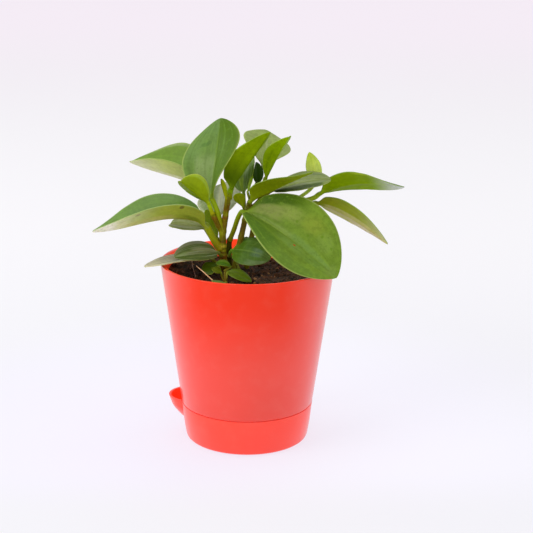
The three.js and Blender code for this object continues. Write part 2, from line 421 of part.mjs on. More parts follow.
// ---- soil -------------------------------------------------------------------------
function soilHeight(x, y) {
  const dx = x + 10, dy = y - 8;
  return SOIL_Z + 1.5 * Math.exp(-(dx * dx + dy * dy) / 392)
    + 0.6 * Math.sin(0.21 * x + 1.3) * Math.cos(0.17 * y - 0.4)
    + 0.4 * Math.sin(0.43 * x - 0.37 * y + 2.1) + 0.25 * Math.sin(0.13 * x + 0.51 * y)
    - 2.2 * Math.exp(-((x + 17) * (x + 17) + (y + 20) * (y + 20)) / 90)
    + 5.0 * Math.exp(-((x + 44) * (x + 44) + (y - 26) * (y - 26)) / 420);   // heaped at the left wall
}
const innerAt = (z) => {
  const z0 = SHOULDER_Z + 2.2, r0 = SHOULDER_R - WALL + 0.25, r1 = RIM_R - WALL;
  return r0 + ((r1 - r0) * (z - z0)) / (RIM_Z - z0);
};
function soilGeometry() {
  const rings = [];
  const ring = (r, height) => {
    const out = [];
    for (let j = 0; j < ROUND; j++) {
      const a = (2 * Math.PI * j) / ROUND;
      const x = r * Math.sin(a), y = -r * Math.cos(a);
      out.push(new THREE.Vector3(x, y, typeof height === 'function' ? height(x, y) : height));
    }
    return out;
  };
  rings.push(ring(WICK_R - WALL - 0.7 - GAP, WICK_Z + WALL + GAP));
  rings.push(ring(WICK_R - WALL - 0.35, FLOOR_Z + WALL + 0.5));
  rings.push(ring(34.2, FLOOR_Z + WALL + GAP + 0.1));
  rings.push(ring(NECK_R - WALL - GAP - 0.15, SHOULDER_Z + 0.6));
  rings.push(ring(innerAt(SHOULDER_Z + 2.2) - GAP - 0.1, SHOULDER_Z + 2.4));
  const edge = innerAt(SOIL_Z) - GAP - 0.15;
  rings.push(ring(edge, (x, y) => soilHeight(x, y) - 0.7));
  for (const r of [46, 36, 26, 16, 7]) rings.push(ring(r, soilHeight));
  return skin(rings, new THREE.Vector3(0, 0, WICK_Z + WALL + GAP), new THREE.Vector3(0, 0, soilHeight(0, 0)));
}
let soil = toSolid(soilGeometry());

// ---- stems --------------------------------------------------------------------------
const STEM_SIDES = 10;
const wide = [];
function addStem(name, parts, sides = STEM_SIDES) {
  let solid = null, grown = null;
  for (const key of parts) {
    const s = STEMS[key];
    const steps = s.steps;
    const one = toSolid(stem(s.points, s.radii, steps, sides));
    const fat = toSolid(stem(s.points, s.radii, steps, sides, GAP, GAP));
    solid = solid ? solid.add(one) : one;
    grown = grown ? grown.add(fat) : fat;
  }
  wide.push(grown);
  soil = soil.subtract(grown);
  add(name, toGeometry(mainPiece(solid)), bark);
}
addStem('main_stem', ['main', 'mainLeft', 'mainRight']);
addStem('rear_stem', ['rear'], 8);
addStem('centre_stem', ['centre'], 8);
addStem('right_stem', ['right'], 8);
addStem('sprout_stem_right', ['sproutRight'], 8);
addStem('sprout_stem_left', ['sproutLeft'], 8);
addStem('stalk_low', ['stalk'], 8);

// ---- leaves -----------------------------------------------------------------------------
for (const leaf of LEAVES) {
  const large = leaf.length > 30;
  let solid = toSolid(leafGeometry(leaf, large ? BIG : SMALL, 4));
  for (const w of wide) solid = solid.subtract(w);
  add(leaf.name, toGeometry(mainPiece(solid)), leaf.young ? pale : green);
}

// ---- bits lying on the soil ----------------------------------------------------------------
function bit(name, points, r, sides, material) {
  add(name, stem(points, points.map(() => r), Math.max(3, points.length), sides), material);
}
bit('straw_bit', [[-31.97, -12.4, 115.64], [-29.46, -13.6, 113.8], [-26.89, -14.8, 111.84], [-24.32, -16.0, 109.75], [-21.5, -17.0, 107.5], [-18.2, -18.2, 104.85]], 0.5, 8, straw);
bit('fibre_bit', [[-35.8, 17, 111.0], [-35.4, 11, 109.95], [-34.6, 5.5, 108.85], [-34, 2, 108.25], [-32.5, -8.6, 107.2]], 0.32, 6, straw);

add('potting_soil', toGeometry(mainPiece(soil)), earth);

export default model;
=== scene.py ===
# Potted peperomia: surfaces, materials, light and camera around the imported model.
# Metres in the scene; the plant tables below are in millimetres, as in the part's source.
import math
import bpy
import bmesh
import numpy as np
from mathutils import Matrix, Vector, noise


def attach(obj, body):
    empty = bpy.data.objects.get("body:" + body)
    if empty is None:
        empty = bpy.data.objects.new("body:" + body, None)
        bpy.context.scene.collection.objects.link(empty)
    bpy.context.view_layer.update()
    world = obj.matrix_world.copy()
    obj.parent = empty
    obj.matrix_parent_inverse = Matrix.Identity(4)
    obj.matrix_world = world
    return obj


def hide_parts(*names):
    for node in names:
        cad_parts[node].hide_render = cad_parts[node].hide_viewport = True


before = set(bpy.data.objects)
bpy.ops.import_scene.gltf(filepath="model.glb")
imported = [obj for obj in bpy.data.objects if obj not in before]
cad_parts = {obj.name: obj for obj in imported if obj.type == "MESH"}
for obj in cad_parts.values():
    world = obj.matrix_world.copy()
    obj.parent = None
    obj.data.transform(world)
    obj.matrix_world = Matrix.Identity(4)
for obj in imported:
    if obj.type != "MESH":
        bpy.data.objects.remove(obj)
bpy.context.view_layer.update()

MM = 0.001
scene = bpy.context.scene
rng = np.random.default_rng(7)


# ---------------------------------------------------------------- helpers
def lin(r, g, b, a=1.0):
    f = lambda v: v / 12.92 if v <= 0.04045 else ((v + 0.055) / 1.055) ** 2.4
    return (f(r / 255.0), f(g / 255.0), f(b / 255.0), a)


def tint(c, k):
    return (min(c[0] * k, 1.0), min(c[1] * k, 1.0), min(c[2] * k, 1.0), 1.0)


def fbm(x, y, z, scale, octaves=4, seed=0.0):
    return noise.fractal(Vector((x * scale + seed, y * scale - seed, z * scale + 0.37 * seed)), 0.9, 2.1, octaves)


def new_object(name, verts, faces, uvs=None, colors=None, attrs=None, smooth=True, sharp=None):
    me = bpy.data.meshes.new(name)
    me.from_pydata([tuple(v) for v in verts], [], [tuple(int(i) for i in f) for f in faces])
    me.validate()
    me.update()
    if uvs is not None:
        layer = me.uv_layers.new(name="surface")
        idx = np.empty(len(me.loops), dtype=np.int32)
        me.loops.foreach_get("vertex_index", idx)
        layer.data.foreach_set("uv", np.asarray(uvs, dtype=np.float32)[idx].ravel())
    if colors is not None:
        for cname, data in colors.items():
            ca = me.color_attributes.new(name=cname, type="FLOAT_COLOR", domain="POINT")
            ca.data.foreach_set("color", np.asarray(data, dtype=np.float32).ravel())
    me.polygons.foreach_set("use_smooth", [bool(smooth)] * len(me.polygons))
    ob = bpy.data.objects.new(name, me)
    scene.collection.objects.link(ob)
    if sharp is not None:
        mark_sharp(ob, sharp)
    return ob


def mark_sharp(ob, degrees):
    bm = bmesh.new()
    bm.from_mesh(ob.data)
    lim = math.radians(degrees)
    for e in bm.edges:
        e.smooth = not (len(e.link_faces) == 2 and e.calc_face_angle(0.0) > lim)
    for f in bm.faces:
        f.smooth = True
    bm.to_mesh(ob.data)
    bm.free()


def lathe(profile, n, cx=0.0, cy=0.0, closed=False, phase=0.0):
    """Closed surface of revolution from (r, z) in mm; ends on the axis, or closes on itself."""
    pts = list(profile)
    verts, faces, rings = [], [], []
    for r, z in pts:
        if r < 1e-9:
            rings.append([len(verts)])
            verts.append((cx * MM, cy * MM, z * MM))
        else:
            ring = []
            for j in range(n):
                a = 2 * math.pi * j / n + phase
                ring.append(len(verts))
                verts.append(((cx + r * math.cos(a)) * MM, (cy + r * math.sin(a)) * MM, z * MM))
            rings.append(ring)
    pairs = list(zip(rings, rings[1:]))
    if closed:
        pairs.append((rings[-1], rings[0]))
    for a, b in pairs:
        for j in range(n):
            k = (j + 1) % n
            if len(a) == 1 and len(b) == 1:
                continue
            if len(a) == 1:
                faces.append((a[0], b[k], b[j]))
            elif len(b) == 1:
                faces.append((a[j], a[k], b[0]))
            else:
                faces.append((a[j], a[k], b[k], b[j]))
    return verts, faces


def rounded(points, radius, steps=4, keep=()):
    """Round the inner corners of a profile; radius in mm, one number or one per point."""
    out = []
    for i, p in enumerate(points):
        r = radius[i] if isinstance(radius, (list, tuple)) else radius
        if i == 0 or i == len(points) - 1 or r <= 0:
            out.append(p)
            continue
        a, b, c = Vector((*points[i - 1], 0)), Vector((*p, 0)), Vector((*points[i + 1], 0))
        u, v = (a - b), (c - b)
        d = min(r, u.length * 0.45, v.length * 0.45)
        u.normalize(); v.normalize()
        p0, p2 = b + u * d, b + v * d
        for s in range(steps + 1):
            t = s / steps
            q = p0 * (1 - t) ** 2 + b * 2 * t * (1 - t) + p2 * t ** 2
            out.append((q.x, q.y))
    return out


def boolean(ob, other, operation):
    m = ob.modifiers.new("cut", "BOOLEAN")
    m.operation = operation
    m.solver = "EXACT"
    m.object = other
    dg = bpy.context.evaluated_depsgraph_get()
    dg.update()
    me = bpy.data.meshes.new_from_object(ob.evaluated_get(dg))
    ob.modifiers.clear()
    old = ob.data
    ob.data = me
    bpy.data.meshes.remove(old)
    bpy.data.objects.remove(other, do_unlink=True)


def catmull(points, n):
    """Centripetal Catmull-Rom through the points, n + 1 samples evenly spaced in parameter."""
    P = [np.array(p, float) for p in points]
    P = [2 * P[0] - P[1]] + P + [2 * P[-1] - P[-2]]
    out = []
    segs = len(P) - 3
    for i in range(n + 1):
        f = i / n * segs
        k = min(int(f), segs - 1)
        u = f - k
        p0, p1, p2, p3 = P[k:k + 4]
        d = lambda a, b: max(np.linalg.norm(b - a) ** 0.5, 1e-4)
        t0 = 0.0; t1 = t0 + d(p0, p1); t2 = t1 + d(p1, p2); t3 = t2 + d(p2, p3)
        t = t1 + u * (t2 - t1)
        a1 = (t1 - t) / (t1 - t0) * p0 + (t - t0) / (t1 - t0) * p1
        a2 = (t2 - t) / (t2 - t1) * p1 + (t - t1) / (t2 - t1) * p2
        a3 = (t3 - t) / (t3 - t2) * p2 + (t - t2) / (t3 - t2) * p3
        b1 = (t2 - t) / (t2 - t0) * a1 + (t - t0) / (t2 - t0) * a2
        b2 = (t3 - t) / (t3 - t1) * a2 + (t - t1) / (t3 - t1) * a3
        out.append((t2 - t) / (t2 - t1) * b1 + (t - t1) / (t2 - t1) * b2)
    return np.array(out)


def unit(v):
    n = np.linalg.norm(v)
    return v / n if n > 1e-12 else v


# ---------------------------------------------------------------- node material kit
class Nodes:
    def __init__(self, name):
        self.mat = bpy.data.materials.new(name)
        self.mat.use_nodes = True
        self.t = self.mat.node_tree
        self.t.nodes.clear()
        self.out = self.t.nodes.new("ShaderNodeOutputMaterial")
        self.x = 0

    def new(self, kind, **props):
        n = self.t.nodes.new(kind)
        self.x += 1
        n.location = (-200 * (self.x % 9), -180 * (self.x // 9))
        for k, v in props.items():
            setattr(n, k, v)
        return n

    def link(self, a, b):
        self.t.links.new(a, b)
        return b

    def put(self, socket, value):
        if isinstance(value, bpy.types.NodeSocket):
            self.link(value, socket)
        else:
            socket.default_value = value

    def math(self, op, a, b=None, clamp=False, c=None):
        n = self.new("ShaderNodeMath", operation=op, use_clamp=clamp)
        self.put(n.inputs[0], a)
        if b is not None:
            self.put(n.inputs[1], b)
        if c is not None:
            self.put(n.inputs[2], c)
        return n.outputs[0]

    def mix(self, fac, a, b, blend="MIX"):
        n = self.new("ShaderNodeMix", data_type="RGBA", blend_type=blend)
        n.clamp_factor = True
        self.put(n.inputs[0], fac)
        self.put(n.inputs[6], a)
        self.put(n.inputs[7], b)
        return n.outputs[2]

    def smooth(self, x, lo, hi, a=0.0, b=1.0):
        n = self.new("ShaderNodeMapRange", interpolation_type="SMOOTHSTEP")
        self.put(n.inputs["Value"], x)
        n.inputs["From Min"].default_value = lo
        n.inputs["From Max"].default_value = hi
        n.inputs["To Min"].default_value = a
        n.inputs["To Max"].default_value = b
        return n.outputs[0]

    def combine(self, x, y, z=0.0):
        n = self.new("ShaderNodeCombineXYZ")
        for i, s in enumerate((x, y, z)):
            self.put(n.inputs[i], s)
        return n.outputs[0]

    def noise(self, vec, scale, detail=4.0, rough=0.55, distort=0.0):
        n = self.new("ShaderNodeTexNoise")
        self.put(n.inputs["Vector"], vec)
        n.inputs["Scale"].default_value = scale
        n.inputs["Detail"].default_value = detail
        n.inputs["Roughness"].default_value = rough
        n.inputs["Distortion"].default_value = distort
        return n.outputs["Fac"]

    def voronoi(self, vec, scale, feature="F1", rnd=1.0):
        n = self.new("ShaderNodeTexVoronoi", feature=feature)
        self.put(n.inputs["Vector"], vec)
        n.inputs["Scale"].default_value = scale
        n.inputs["Randomness"].default_value = rnd
        return n.outputs["Distance"]

    def coords(self):
        return self.new("ShaderNodeTexCoord").outputs["Object"]

    def uv(self):
        n = self.new("ShaderNodeUVMap", uv_map="surface")
        s = self.new("ShaderNodeSeparateXYZ")
        self.link(n.outputs[0], s.inputs[0])
        return n.outputs[0], s.outputs[0], s.outputs[1]

    def attr(self, name):
        n = self.new("ShaderNodeVertexColor", layer_name=name)
        return n.outputs["Color"]

    def bump(self, height, strength, distance, normal=None):
        n = self.new("ShaderNodeBump")
        n.inputs["Strength"].default_value = strength
        n.inputs["Distance"].default_value = distance
        self.put(n.inputs["Height"], height)
        if normal is not None:
            self.put(n.inputs["Normal"], normal)
        return n.outputs[0]

    def shader(self, color, rough, normal=None, **direct):
        p = self.new("ShaderNodeBsdfPrincipled")
        self.put(p.inputs["Base Color"], color)
        self.put(p.inputs["Roughness"], rough)
        if normal is not None:
            self.put(p.inputs["Normal"], normal)
        for k, v in direct.items():
            p.inputs[k.replace("_", " ")].default_value = v
        self.link(p.outputs[0], self.out.inputs[0])
        return p


# ---------------------------------------------------------------- plant tables
LEAVES = [
    dict(name='leaf_front_right_big', base=[-3.81, 2.0, 146.98], az=-35.12, el=-10.48, roll=20.73, length=77.15, width=55.39, bend=[0.276, -0.472], sweep=-0.179, twist=0.163,
         fold=[0.84, 0.184], cup=0.164, outline=[0.755, 0.792], thick=1.7, petioleR=1.5,
         petiole=[[-11.55, 13.9, 125.51], [-8.87, 10.8, 133.19], [-6.71, 7.2, 140.58], [-4.94, 4.0, 145.16]]),
    dict(name='leaf_top_upright', base=[-23.03, 9.5, 153.8], az=81.02, el=68.34, roll=-33.77, length=53.2, width=44.52, bend=[0.109, -0.382], sweep=0.096, twist=0.145,
         fold=[0.82, -0.024], cup=0.123, outline=[0.65, 0.689], thick=1.6, petioleR=1.65,
         petiole=[[-16.36, 12.0, 131.86], [-17.61, 11.3, 137.9], [-19.1, 10.3, 143.97], [-20.97, 9.7, 149.26]]),
    dict(name='leaf_young_left', base=[-24.82, 6.0, 151.37], az=213.47, el=35.97, roll=36.05, length=24.86, width=21.86, bend=[-0.108, 0.281], sweep=-0.078, twist=-0.003,
         fold=[0.525, 0.651], cup=0.092, outline=[0.949, 0.565], thick=1.2, petioleR=1.3,
         petiole=[[-22.22, 8.9, 143.63], [-23.55, 7.4, 147.52]]),
    dict(name='leaf_long_left', base=[-25.86, 8.0, 136.05], az=205.58, el=35.99, roll=-11.08, length=75.61, width=43.09, bend=[0.584, -1.852], sweep=-0.066, twist=0.454,
         fold=[0.959, 0.35], cup=0.189, outline=[0.731, 0.696], thick=1.6, petioleR=2.2,
         petiole=[[-17.09, 10.8, 120.37], [-20.63, 10.2, 125.43], [-23.38, 9.2, 130.56]]),
    dict(name='leaf_upper_left', base=[-29.18, 33.5, 154.99], az=152.28, el=19.26, roll=-11.73, length=58.61, width=48.35, bend=[0.109, -0.632], sweep=-0.064, twist=0.076,
         fold=[1.091, 0.503], cup=0.053, outline=[0.554, 0.756], thick=1.5, petioleR=1.3,
         petiole=[[-21.1, 9.6, 140.88], [-24.43, 16.0, 146.49], [-26.92, 23.0, 152.06]]),
    dict(name='leaf_back_left', base=[-27.59, 22.0, 130.95], az=162.66, el=4.22, roll=-14.03, length=23.81, width=21.12, bend=[0.029, -0.068], sweep=0.061, twist=0.104,
         fold=[0.293, 0.395], cup=0.277, outline=[0.833, 0.42], thick=1.2, petioleR=1.15,
         petiole=[[-16.46, 11.2, 117.63], [-20.4, 16.0, 120.3], [-24.33, 20.0, 126.18]]),
    dict(name='leaf_low_left', base=[-18.5, 3.0, 119.81], az=212.48, el=19.96, roll=-31.58, length=31.12, width=20.92, bend=[0.637, -0.048], sweep=0.112, twist=0.351,
         fold=[0.336, 0.092], cup=0.35, outline=[0.668, 0.638], thick=1.4, petioleR=1.1,
         petiole=[[-16.44, 10.3, 114.91], [-17.27, 7.0, 117.11]]),
    dict(name='leaf_over_rim_left', base=[-22.74, 8.0, 114.51], az=209.49, el=11.13, roll=0.28, length=47.59, width=24.77, bend=[0.338, 0.003], sweep=0.002, twist=0.163,
         fold=[0.394, 0.12], cup=0.325, outline=[0.839, 0.645], thick=1.4, petioleR=1.1,
         petiole=[[-15.92, 9.9, 109.08], [-19.1, 9.4, 110.65]]),
    dict(name='leaf_top_centre', base=[-11.22, 17.0, 157.38], az=-23.33, el=55.2, roll=-21.36, length=48.42, width=27.63, bend=[0.017, -0.065], sweep=-0.095, twist=0.12,
         fold=[0.878, 0.493], cup=0.307, outline=[0.619, 0.713], thick=1.4, petioleR=1.95,
         petiole=[[-12.37, 10.0, 154.08], [-11.86, 13.4, 155.19]]),
    dict(name='leaf_top_right', base=[10.64, 14.0, 165.25], az=-40.23, el=59.14, roll=-12.99, length=36.63, width=18.44, bend=[0.198, 0.057], sweep=-0.137, twist=0.205,
         fold=[0.896, 0.428], cup=0.265, outline=[0.985, 0.614], thick=1.2, petioleR=1.35,
         petiole=[[1.78, 13.0, 152.86], [5.78, 11.2, 156.7], [9.4, 12.6, 161.04]]),
    dict(name='leaf_back_round', base=[9.0, 26.0, 170.52], az=80.11, el=19.76, roll=14.91, length=47.75, width=32.75, bend=[0.011, -0.143], sweep=0.206, twist=0.15,
         fold=[0.581, 0.036], cup=0.294, outline=[0.987, 0.626], thick=1.4, petioleR=1.15,
         petiole=[[0.42, 12.8, 148.37], [1.04, 20.5, 150.19], [5.25, 25.0, 159.66]]),
    dict(name='leaf_back_small', base=[5.84, 17.5, 161.26], az=106.7, el=77.23, roll=30.69, length=13.97, width=12.35, bend=[0.016, 0.085], sweep=0.038, twist=0.354,
         fold=[0.278, 0.357], cup=0.291, outline=[0.761, 0.65], thick=1.0, petioleR=0.8,
         petiole=[[1.65, 12.95, 152.41], [2.66, 17.0, 153.72]]),
    dict(name='leaf_right_narrow', base=[1.02, 6.0, 152.5], az=-18.96, el=31.64, roll=-31.66, length=47.36, width=24.23, bend=[0.111, -0.153], sweep=-0.06, twist=0.425,
         fold=[0.64, 0.233], cup=0.293, outline=[0.513, 0.636], thick=1.4, petioleR=1.5,
         petiole=[[0.66, 12.6, 149.06], [0.78, 9.2, 151.26]]),
    dict(name='leaf_right_back', base=[13.77, 16.0, 156.92], az=-7.89, el=20.46, roll=19.87, length=39.66, width=25.27, bend=[0.363, 0.211], sweep=-0.011, twist=-0.113,
         fold=[0.337, 0.21], cup=0.314, outline=[0.813, 0.613], thick=1.4, petioleR=1.35,
         petiole=[[-0.32, 12.5, 145.19], [4.84, 14.0, 148.96], [9.37, 15.8, 153.77]]),
    dict(name='leaf_young_right', base=[42.55, 30.0, 158.52], az=-51.47, el=80.56, roll=-3.65, length=21.6, width=13.73, bend=[-0.704, 0.189], sweep=-0.076, twist=0.273,
         fold=[0.156, 0.261], cup=0.349, outline=[0.709, 0.736], thick=1.1, petioleR=1.15,
         petiole=[[25.64, 15.6, 148.86], [30.13, 20.0, 150.63], [35.06, 25.0, 152.68], [39.35, 29.0, 155.11]]),
    dict(name='leaf_far_right_upper', base=[44.77, 21.0, 153.96], az=1.96, el=27.88, roll=-47.44, length=56.54, width=29.17, bend=[0.751, -0.269], sweep=0.069, twist=0.324,
         fold=[0.588, -0.077], cup=0.363, outline=[0.761, 0.778], thick=1.4, petioleR=1.55,
         petiole=[[34.73, 15.5, 151.09], [39.28, 18.4, 151.37], [42.87, 20.6, 152.4]]),
    dict(name='leaf_far_right_lower', base=[42.74, 23.0, 148.27], az=-16.13, el=-9.27, roll=-46.67, length=55.72, width=28.59, bend=[0.476, -0.409], sweep=0.027, twist=0.248,
         fold=[0.357, 0.281], cup=0.328, outline=[0.681, 0.662], thick=1.4, petioleR=1.3,
         petiole=[[30.5, 15.6, 149.93], [34.89, 18.2, 147.29], [38.52, 21.0, 146.67]]),
    dict(name='leaf_low_front', base=[-10.53, 10.0, 119.64], az=-26.91, el=11.13, roll=32.49, length=27.23, width=24.79, bend=[0.648, 0.022], sweep=-0.152, twist=-0.033,
         fold=[0.234, 0.252], cup=0.329, outline=[0.614, 0.626], thick=1.4, petioleR=1.1,
         petiole=[[-11.93, 14.6, 114.77], [-11.26, 12.2, 117.4]]),
    dict(name='sprout_leaf_top', base=[-10.47, -7.6, 113.66], az=195.73, el=35.2, roll=-24.25, length=9.97, width=7.42, bend=[0.725, -0.04], sweep=-0.042, twist=0.09,
         fold=[0.48, 0.227], cup=0.269, outline=[0.789, 0.663], thick=0.9, petioleR=0.75,
         petiole=[[-14.32, -11.9, 112.25], [-12.0, -9.2, 113.12]]),
    dict(name='sprout_leaf_right', base=[-12.9, -11.7, 111.88], az=-23.91, el=-4.98, roll=23.05, length=17.1, width=10.11, bend=[0.437, -0.114], sweep=0.027, twist=-0.193,
         fold=[0.357, 0.155], cup=0.324, outline=[0.691, 0.686], thick=1.0, petioleR=0.75,
         petiole=[[-13.42, -13.2, 106.82], [-12.81, -12.9, 109.71]]),
    dict(name='sprout_leaf_left', base=[-16.32, -11.0, 110.7], az=171.58, el=30.05, roll=-26.75, length=7.1, width=6.09, bend=[0.262, 0.076], sweep=-0.005, twist=0.173,
         fold=[0.267, 0.295], cup=0.31, outline=[0.75, 0.671], thick=0.8, petioleR=0.65,
         petiole=[[-16.09, -10.3, 108.56], [-16.26, -10.9, 109.63]]),
    dict(name='sprout_leaf_back', base=[-18.64, -5.0, 114.18], az=202.58, el=-11.34, roll=-34.12, length=10.84, width=9.96, bend=[0.228, -0.104], sweep=-0.099, twist=0.01,
         fold=[0.292, 0.075], cup=0.366, outline=[0.837, 0.637], thick=0.9, petioleR=0.7,
         petiole=[[-16.72, -10.0, 110.54], [-17.46, -7.5, 112.29]]),
    dict(name='sprout_leaf_front', base=[-13.38, -19.0, 106.44], az=190.02, el=9.16, roll=-4.32, length=9.28, width=6.79, bend=[-0.108, -0.023], sweep=-0.022, twist=0.045,
         fold=[0.266, 0.091], cup=0.369, outline=[0.855, 0.614], thick=0.8, petioleR=0.65,
         petiole=[[-13.29, -13.3, 105.36], [-13.3, -16.5, 106.16]]),
    dict(name='leaf_centre_back', base=[-2.79, 17.5, 154.74], az=98.38, el=53.37, roll=-33.14, length=33.16, width=18.91, bend=[0.658, 0.211], sweep=-0.138, twist=-0.337,
         fold=[0.274, 0.37], cup=0.289, outline=[0.829, 0.669], thick=1.4, petioleR=1.1,
         petiole=[[-1.44, 12.5, 141.61], [-2.37, 16.0, 147.29]]),
    dict(name='leaf_young_centre', base=[-3.09, 6.0, 148.94], az=232.07, el=59.28, roll=32.28, length=11.57, width=7.76, bend=[0.065, 0.067], sweep=-0.123, twist=0.137,
         fold=[0.632, 0.364], cup=0.261, outline=[0.862, 0.624], thick=1.0, petioleR=0.8,
         petiole=[[-1.01, 12.4, 143.26], [-2.27, 9.0, 146.19]]),
    dict(name='leaf_bud_left', base=[-13.51, 7.0, 154.42], az=209.01, el=64.73, roll=25.29, length=13.19, width=4.65, bend=[-0.32, 0.023], sweep=0.079, twist=0.049,
         fold=[0.864, 0.749], cup=0.353, outline=[0.844, 0.626], thick=1.1, petioleR=1.0,
         petiole=[[-13.82, 11.0, 145.45], [-13.97, 8.4, 149.93]]),
    dict(name='leaf_back_wide', base=[-18.33, 24.0, 138.77], az=93.21, el=18.75, roll=-12.78, length=44.58, width=30.4, bend=[0.185, 0.102], sweep=-0.097, twist=-0.227,
         fold=[0.111, 0.319], cup=0.347, outline=[0.743, 0.619], thick=1.4, petioleR=1.3,
         petiole=[[-16.42, 12.0, 128.59], [-17.26, 19.0, 133.4]]),
    dict(name='leaf_small_shaded', base=[-19.4, 17.2, 125.61], az=151.91, el=58.99, roll=-0.79, length=20.02, width=13.41, bend=[-0.195, 0.024], sweep=-0.051, twist=0.069,
         fold=[0.233, 0.13], cup=0.367, outline=[0.84, 0.616], thick=1.1, petioleR=1.0,
         petiole=[[-15.84, 12.0, 121.05], [-17.2, 16.0, 122.96]]),
    dict(name='leaf_bud_right', base=[-0.39, 12.0, 157.25], az=59.74, el=54.4, roll=15.09, length=12.21, width=2.72, bend=[0.011, -0.035], sweep=0.048, twist=0.062,
         fold=[0.991, 0.827], cup=0.296, outline=[0.841, 0.634], thick=1.0, petioleR=0.8,
         petiole=[[1.35, 12.9, 151.26], [0.45, 11.4, 154.17]]),
    dict(name='leaf_bud_low', base=[-2.83, 18.5, 120.41], az=190.22, el=89.0, roll=-38.89, length=7.01, width=6.27, bend=[-0.696, 0.178], sweep=-0.152, twist=-0.421,
         fold=[0.745, 0.18], cup=0.402, outline=[0.873, 0.572], thick=0.9, petioleR=0.7,
         petiole=[[-5.98, 12.2, 118.75], [-4.28, 16.8, 118.86]]),
]
STEMS = {
    'main': dict(radii=[2.7, 2.6, 2.45, 2.35, 2.35, 2.2, 2.0],
        points=[[-14.18, 9.0, 99.73], [-14.64, 9.5, 105.56], [-15.29, 10.0, 112.03], [-15.81, 10.5, 117.17], [-16.08, 11.0, 122.95], [-16.09, 11.5, 128.07], [-16.23, 12.0, 132.52]]),
    'mainLeft': dict(radii=[1.7, 1.75, 1.7, 1.55, 1.4],
        points=[[-16.36, 12.0, 131.21], [-18.36, 11.0, 134.71], [-20.11, 10.0, 138.84], [-21.73, 9.3, 142.24], [-22.96, 8.6, 145.31]]),
    'mainRight': dict(radii=[1.9, 1.9, 1.85, 1.95, 1.8, 1.6],
        points=[[-15.85, 12.0, 130.56], [-14.97, 12.0, 135.79], [-14.39, 11.5, 141.12], [-13.7, 11.0, 146.42], [-12.94, 10.5, 151.06], [-12.31, 10.0, 154.4]]),
    'rear': dict(radii=[2.0, 1.95, 1.85, 1.75, 1.7, 1.5],
        points=[[-11.1, 18.0, 95.12], [-11.44, 17.6, 103.29], [-11.83, 17.0, 110.13], [-12.27, 16.0, 117.04], [-11.95, 14.8, 123.3], [-11.68, 13.8, 126.85]]),
    'centre': dict(radii=[2.0, 2.0, 1.95, 1.9, 1.85, 1.8, 1.8, 1.75, 1.6, 1.3],
        points=[[-8.43, 10.0, 94.81], [-8.45, 10.0, 102.8], [-7.97, 11.0, 109.82], [-6.67, 12.0, 117.48], [-4.8, 12.6, 125.89], [-3.36, 12.5, 132.47], [-1.94, 12.5, 139.01], [-0.58, 12.5, 144.87], [0.79, 12.7, 149.36], [1.9, 13.0, 153.5]]),
    'right': dict(radii=[1.9, 1.85, 1.8, 1.75, 1.7, 1.6, 1.5, 1.45, 1.4, 1.25],
        points=[[-3.02, 16.0, 95.75], [-1.14, 16.0, 105.14], [0.73, 16.0, 115.79], [2.14, 16.0, 125.72], [3.44, 16.0, 132.3], [6.32, 16.0, 138.87], [12.62, 15.8, 144.18], [22.1, 15.7, 147.84], [30.31, 15.6, 150.19], [35.36, 15.5, 151.22]]),
    'sproutRight': dict(radii=[1.0, 0.95, 0.85, 0.75],
        points=[[-12.54, -13.5, 99.78], [-13.29, -13.5, 104.96], [-13.92, -13.0, 108.7], [-14.32, -12.0, 111.96]]),
    'sproutLeft': dict(radii=[0.9, 0.85, 0.8, 0.7],
        points=[[-12.58, -11.0, 99.04], [-13.77, -11.0, 104.23], [-15.65, -10.5, 107.64], [-16.72, -10.0, 111.06]]),
    'stalk': dict(radii=[0.8, 0.75, 0.7, 0.55],
        points=[[-4.59, 6.0, 101.32], [-5.44, 6.0, 108.25], [-6.08, 6.0, 110.55], [-7.1, 6.0, 112.19]]),
}


# ---------------------------------------------------------------- leaves
def blade_frames(leaf, n=96):
    az, el, roll = (math.radians(leaf[k]) for k in ("az", "el", "roll"))
    T = np.array([math.cos(el) * math.cos(az), math.cos(el) * math.sin(az), math.sin(el)])
    sh = np.array([-math.sin(az), math.cos(az), 0.0])
    nh = np.cross(T, sh)
    S = math.cos(roll) * sh + math.sin(roll) * nh
    N = -math.sin(roll) * sh + math.cos(roll) * nh
    M = [np.array(leaf["base"], float)]
    TT, SS, NN = [T], [S], [N]
    dt = 1.0 / n
    for i in range(n):
        t = (i + 0.5) * dt
        w = (S * (leaf["bend"][0] + leaf["bend"][1] * (2 * t - 1)) + N * leaf["sweep"] + T * leaf["twist"]) * dt
        a = np.linalg.norm(w)
        k = w / max(a, 1e-12)
        rot = lambda v: v * math.cos(a) + np.cross(k, v) * math.sin(a) + k * (k @ v) * (1 - math.cos(a))
        T2, S2, N2 = rot(T), rot(S), rot(N)
        M.append(M[-1] + 0.5 * leaf["length"] * dt * (T + T2))
        T, S, N = T2, S2, N2
        TT.append(T); SS.append(S); NN.append(N)
    return np.array(M), np.array(TT), np.array(SS), np.array(NN)


def outline(t, p, q):
    m = p / (p + q)
    return (max(t, 0.0) ** p * max(1 - t, 0.0) ** q) / (m ** p * (1 - m) ** q)


def half_section(u, fold, cup):
    c = 1e-4 if abs(cup) < 1e-4 else cup
    return (math.sin(fold) - math.sin(fold - c * u)) / c, (math.cos(fold - c * u) - math.cos(fold)) / c


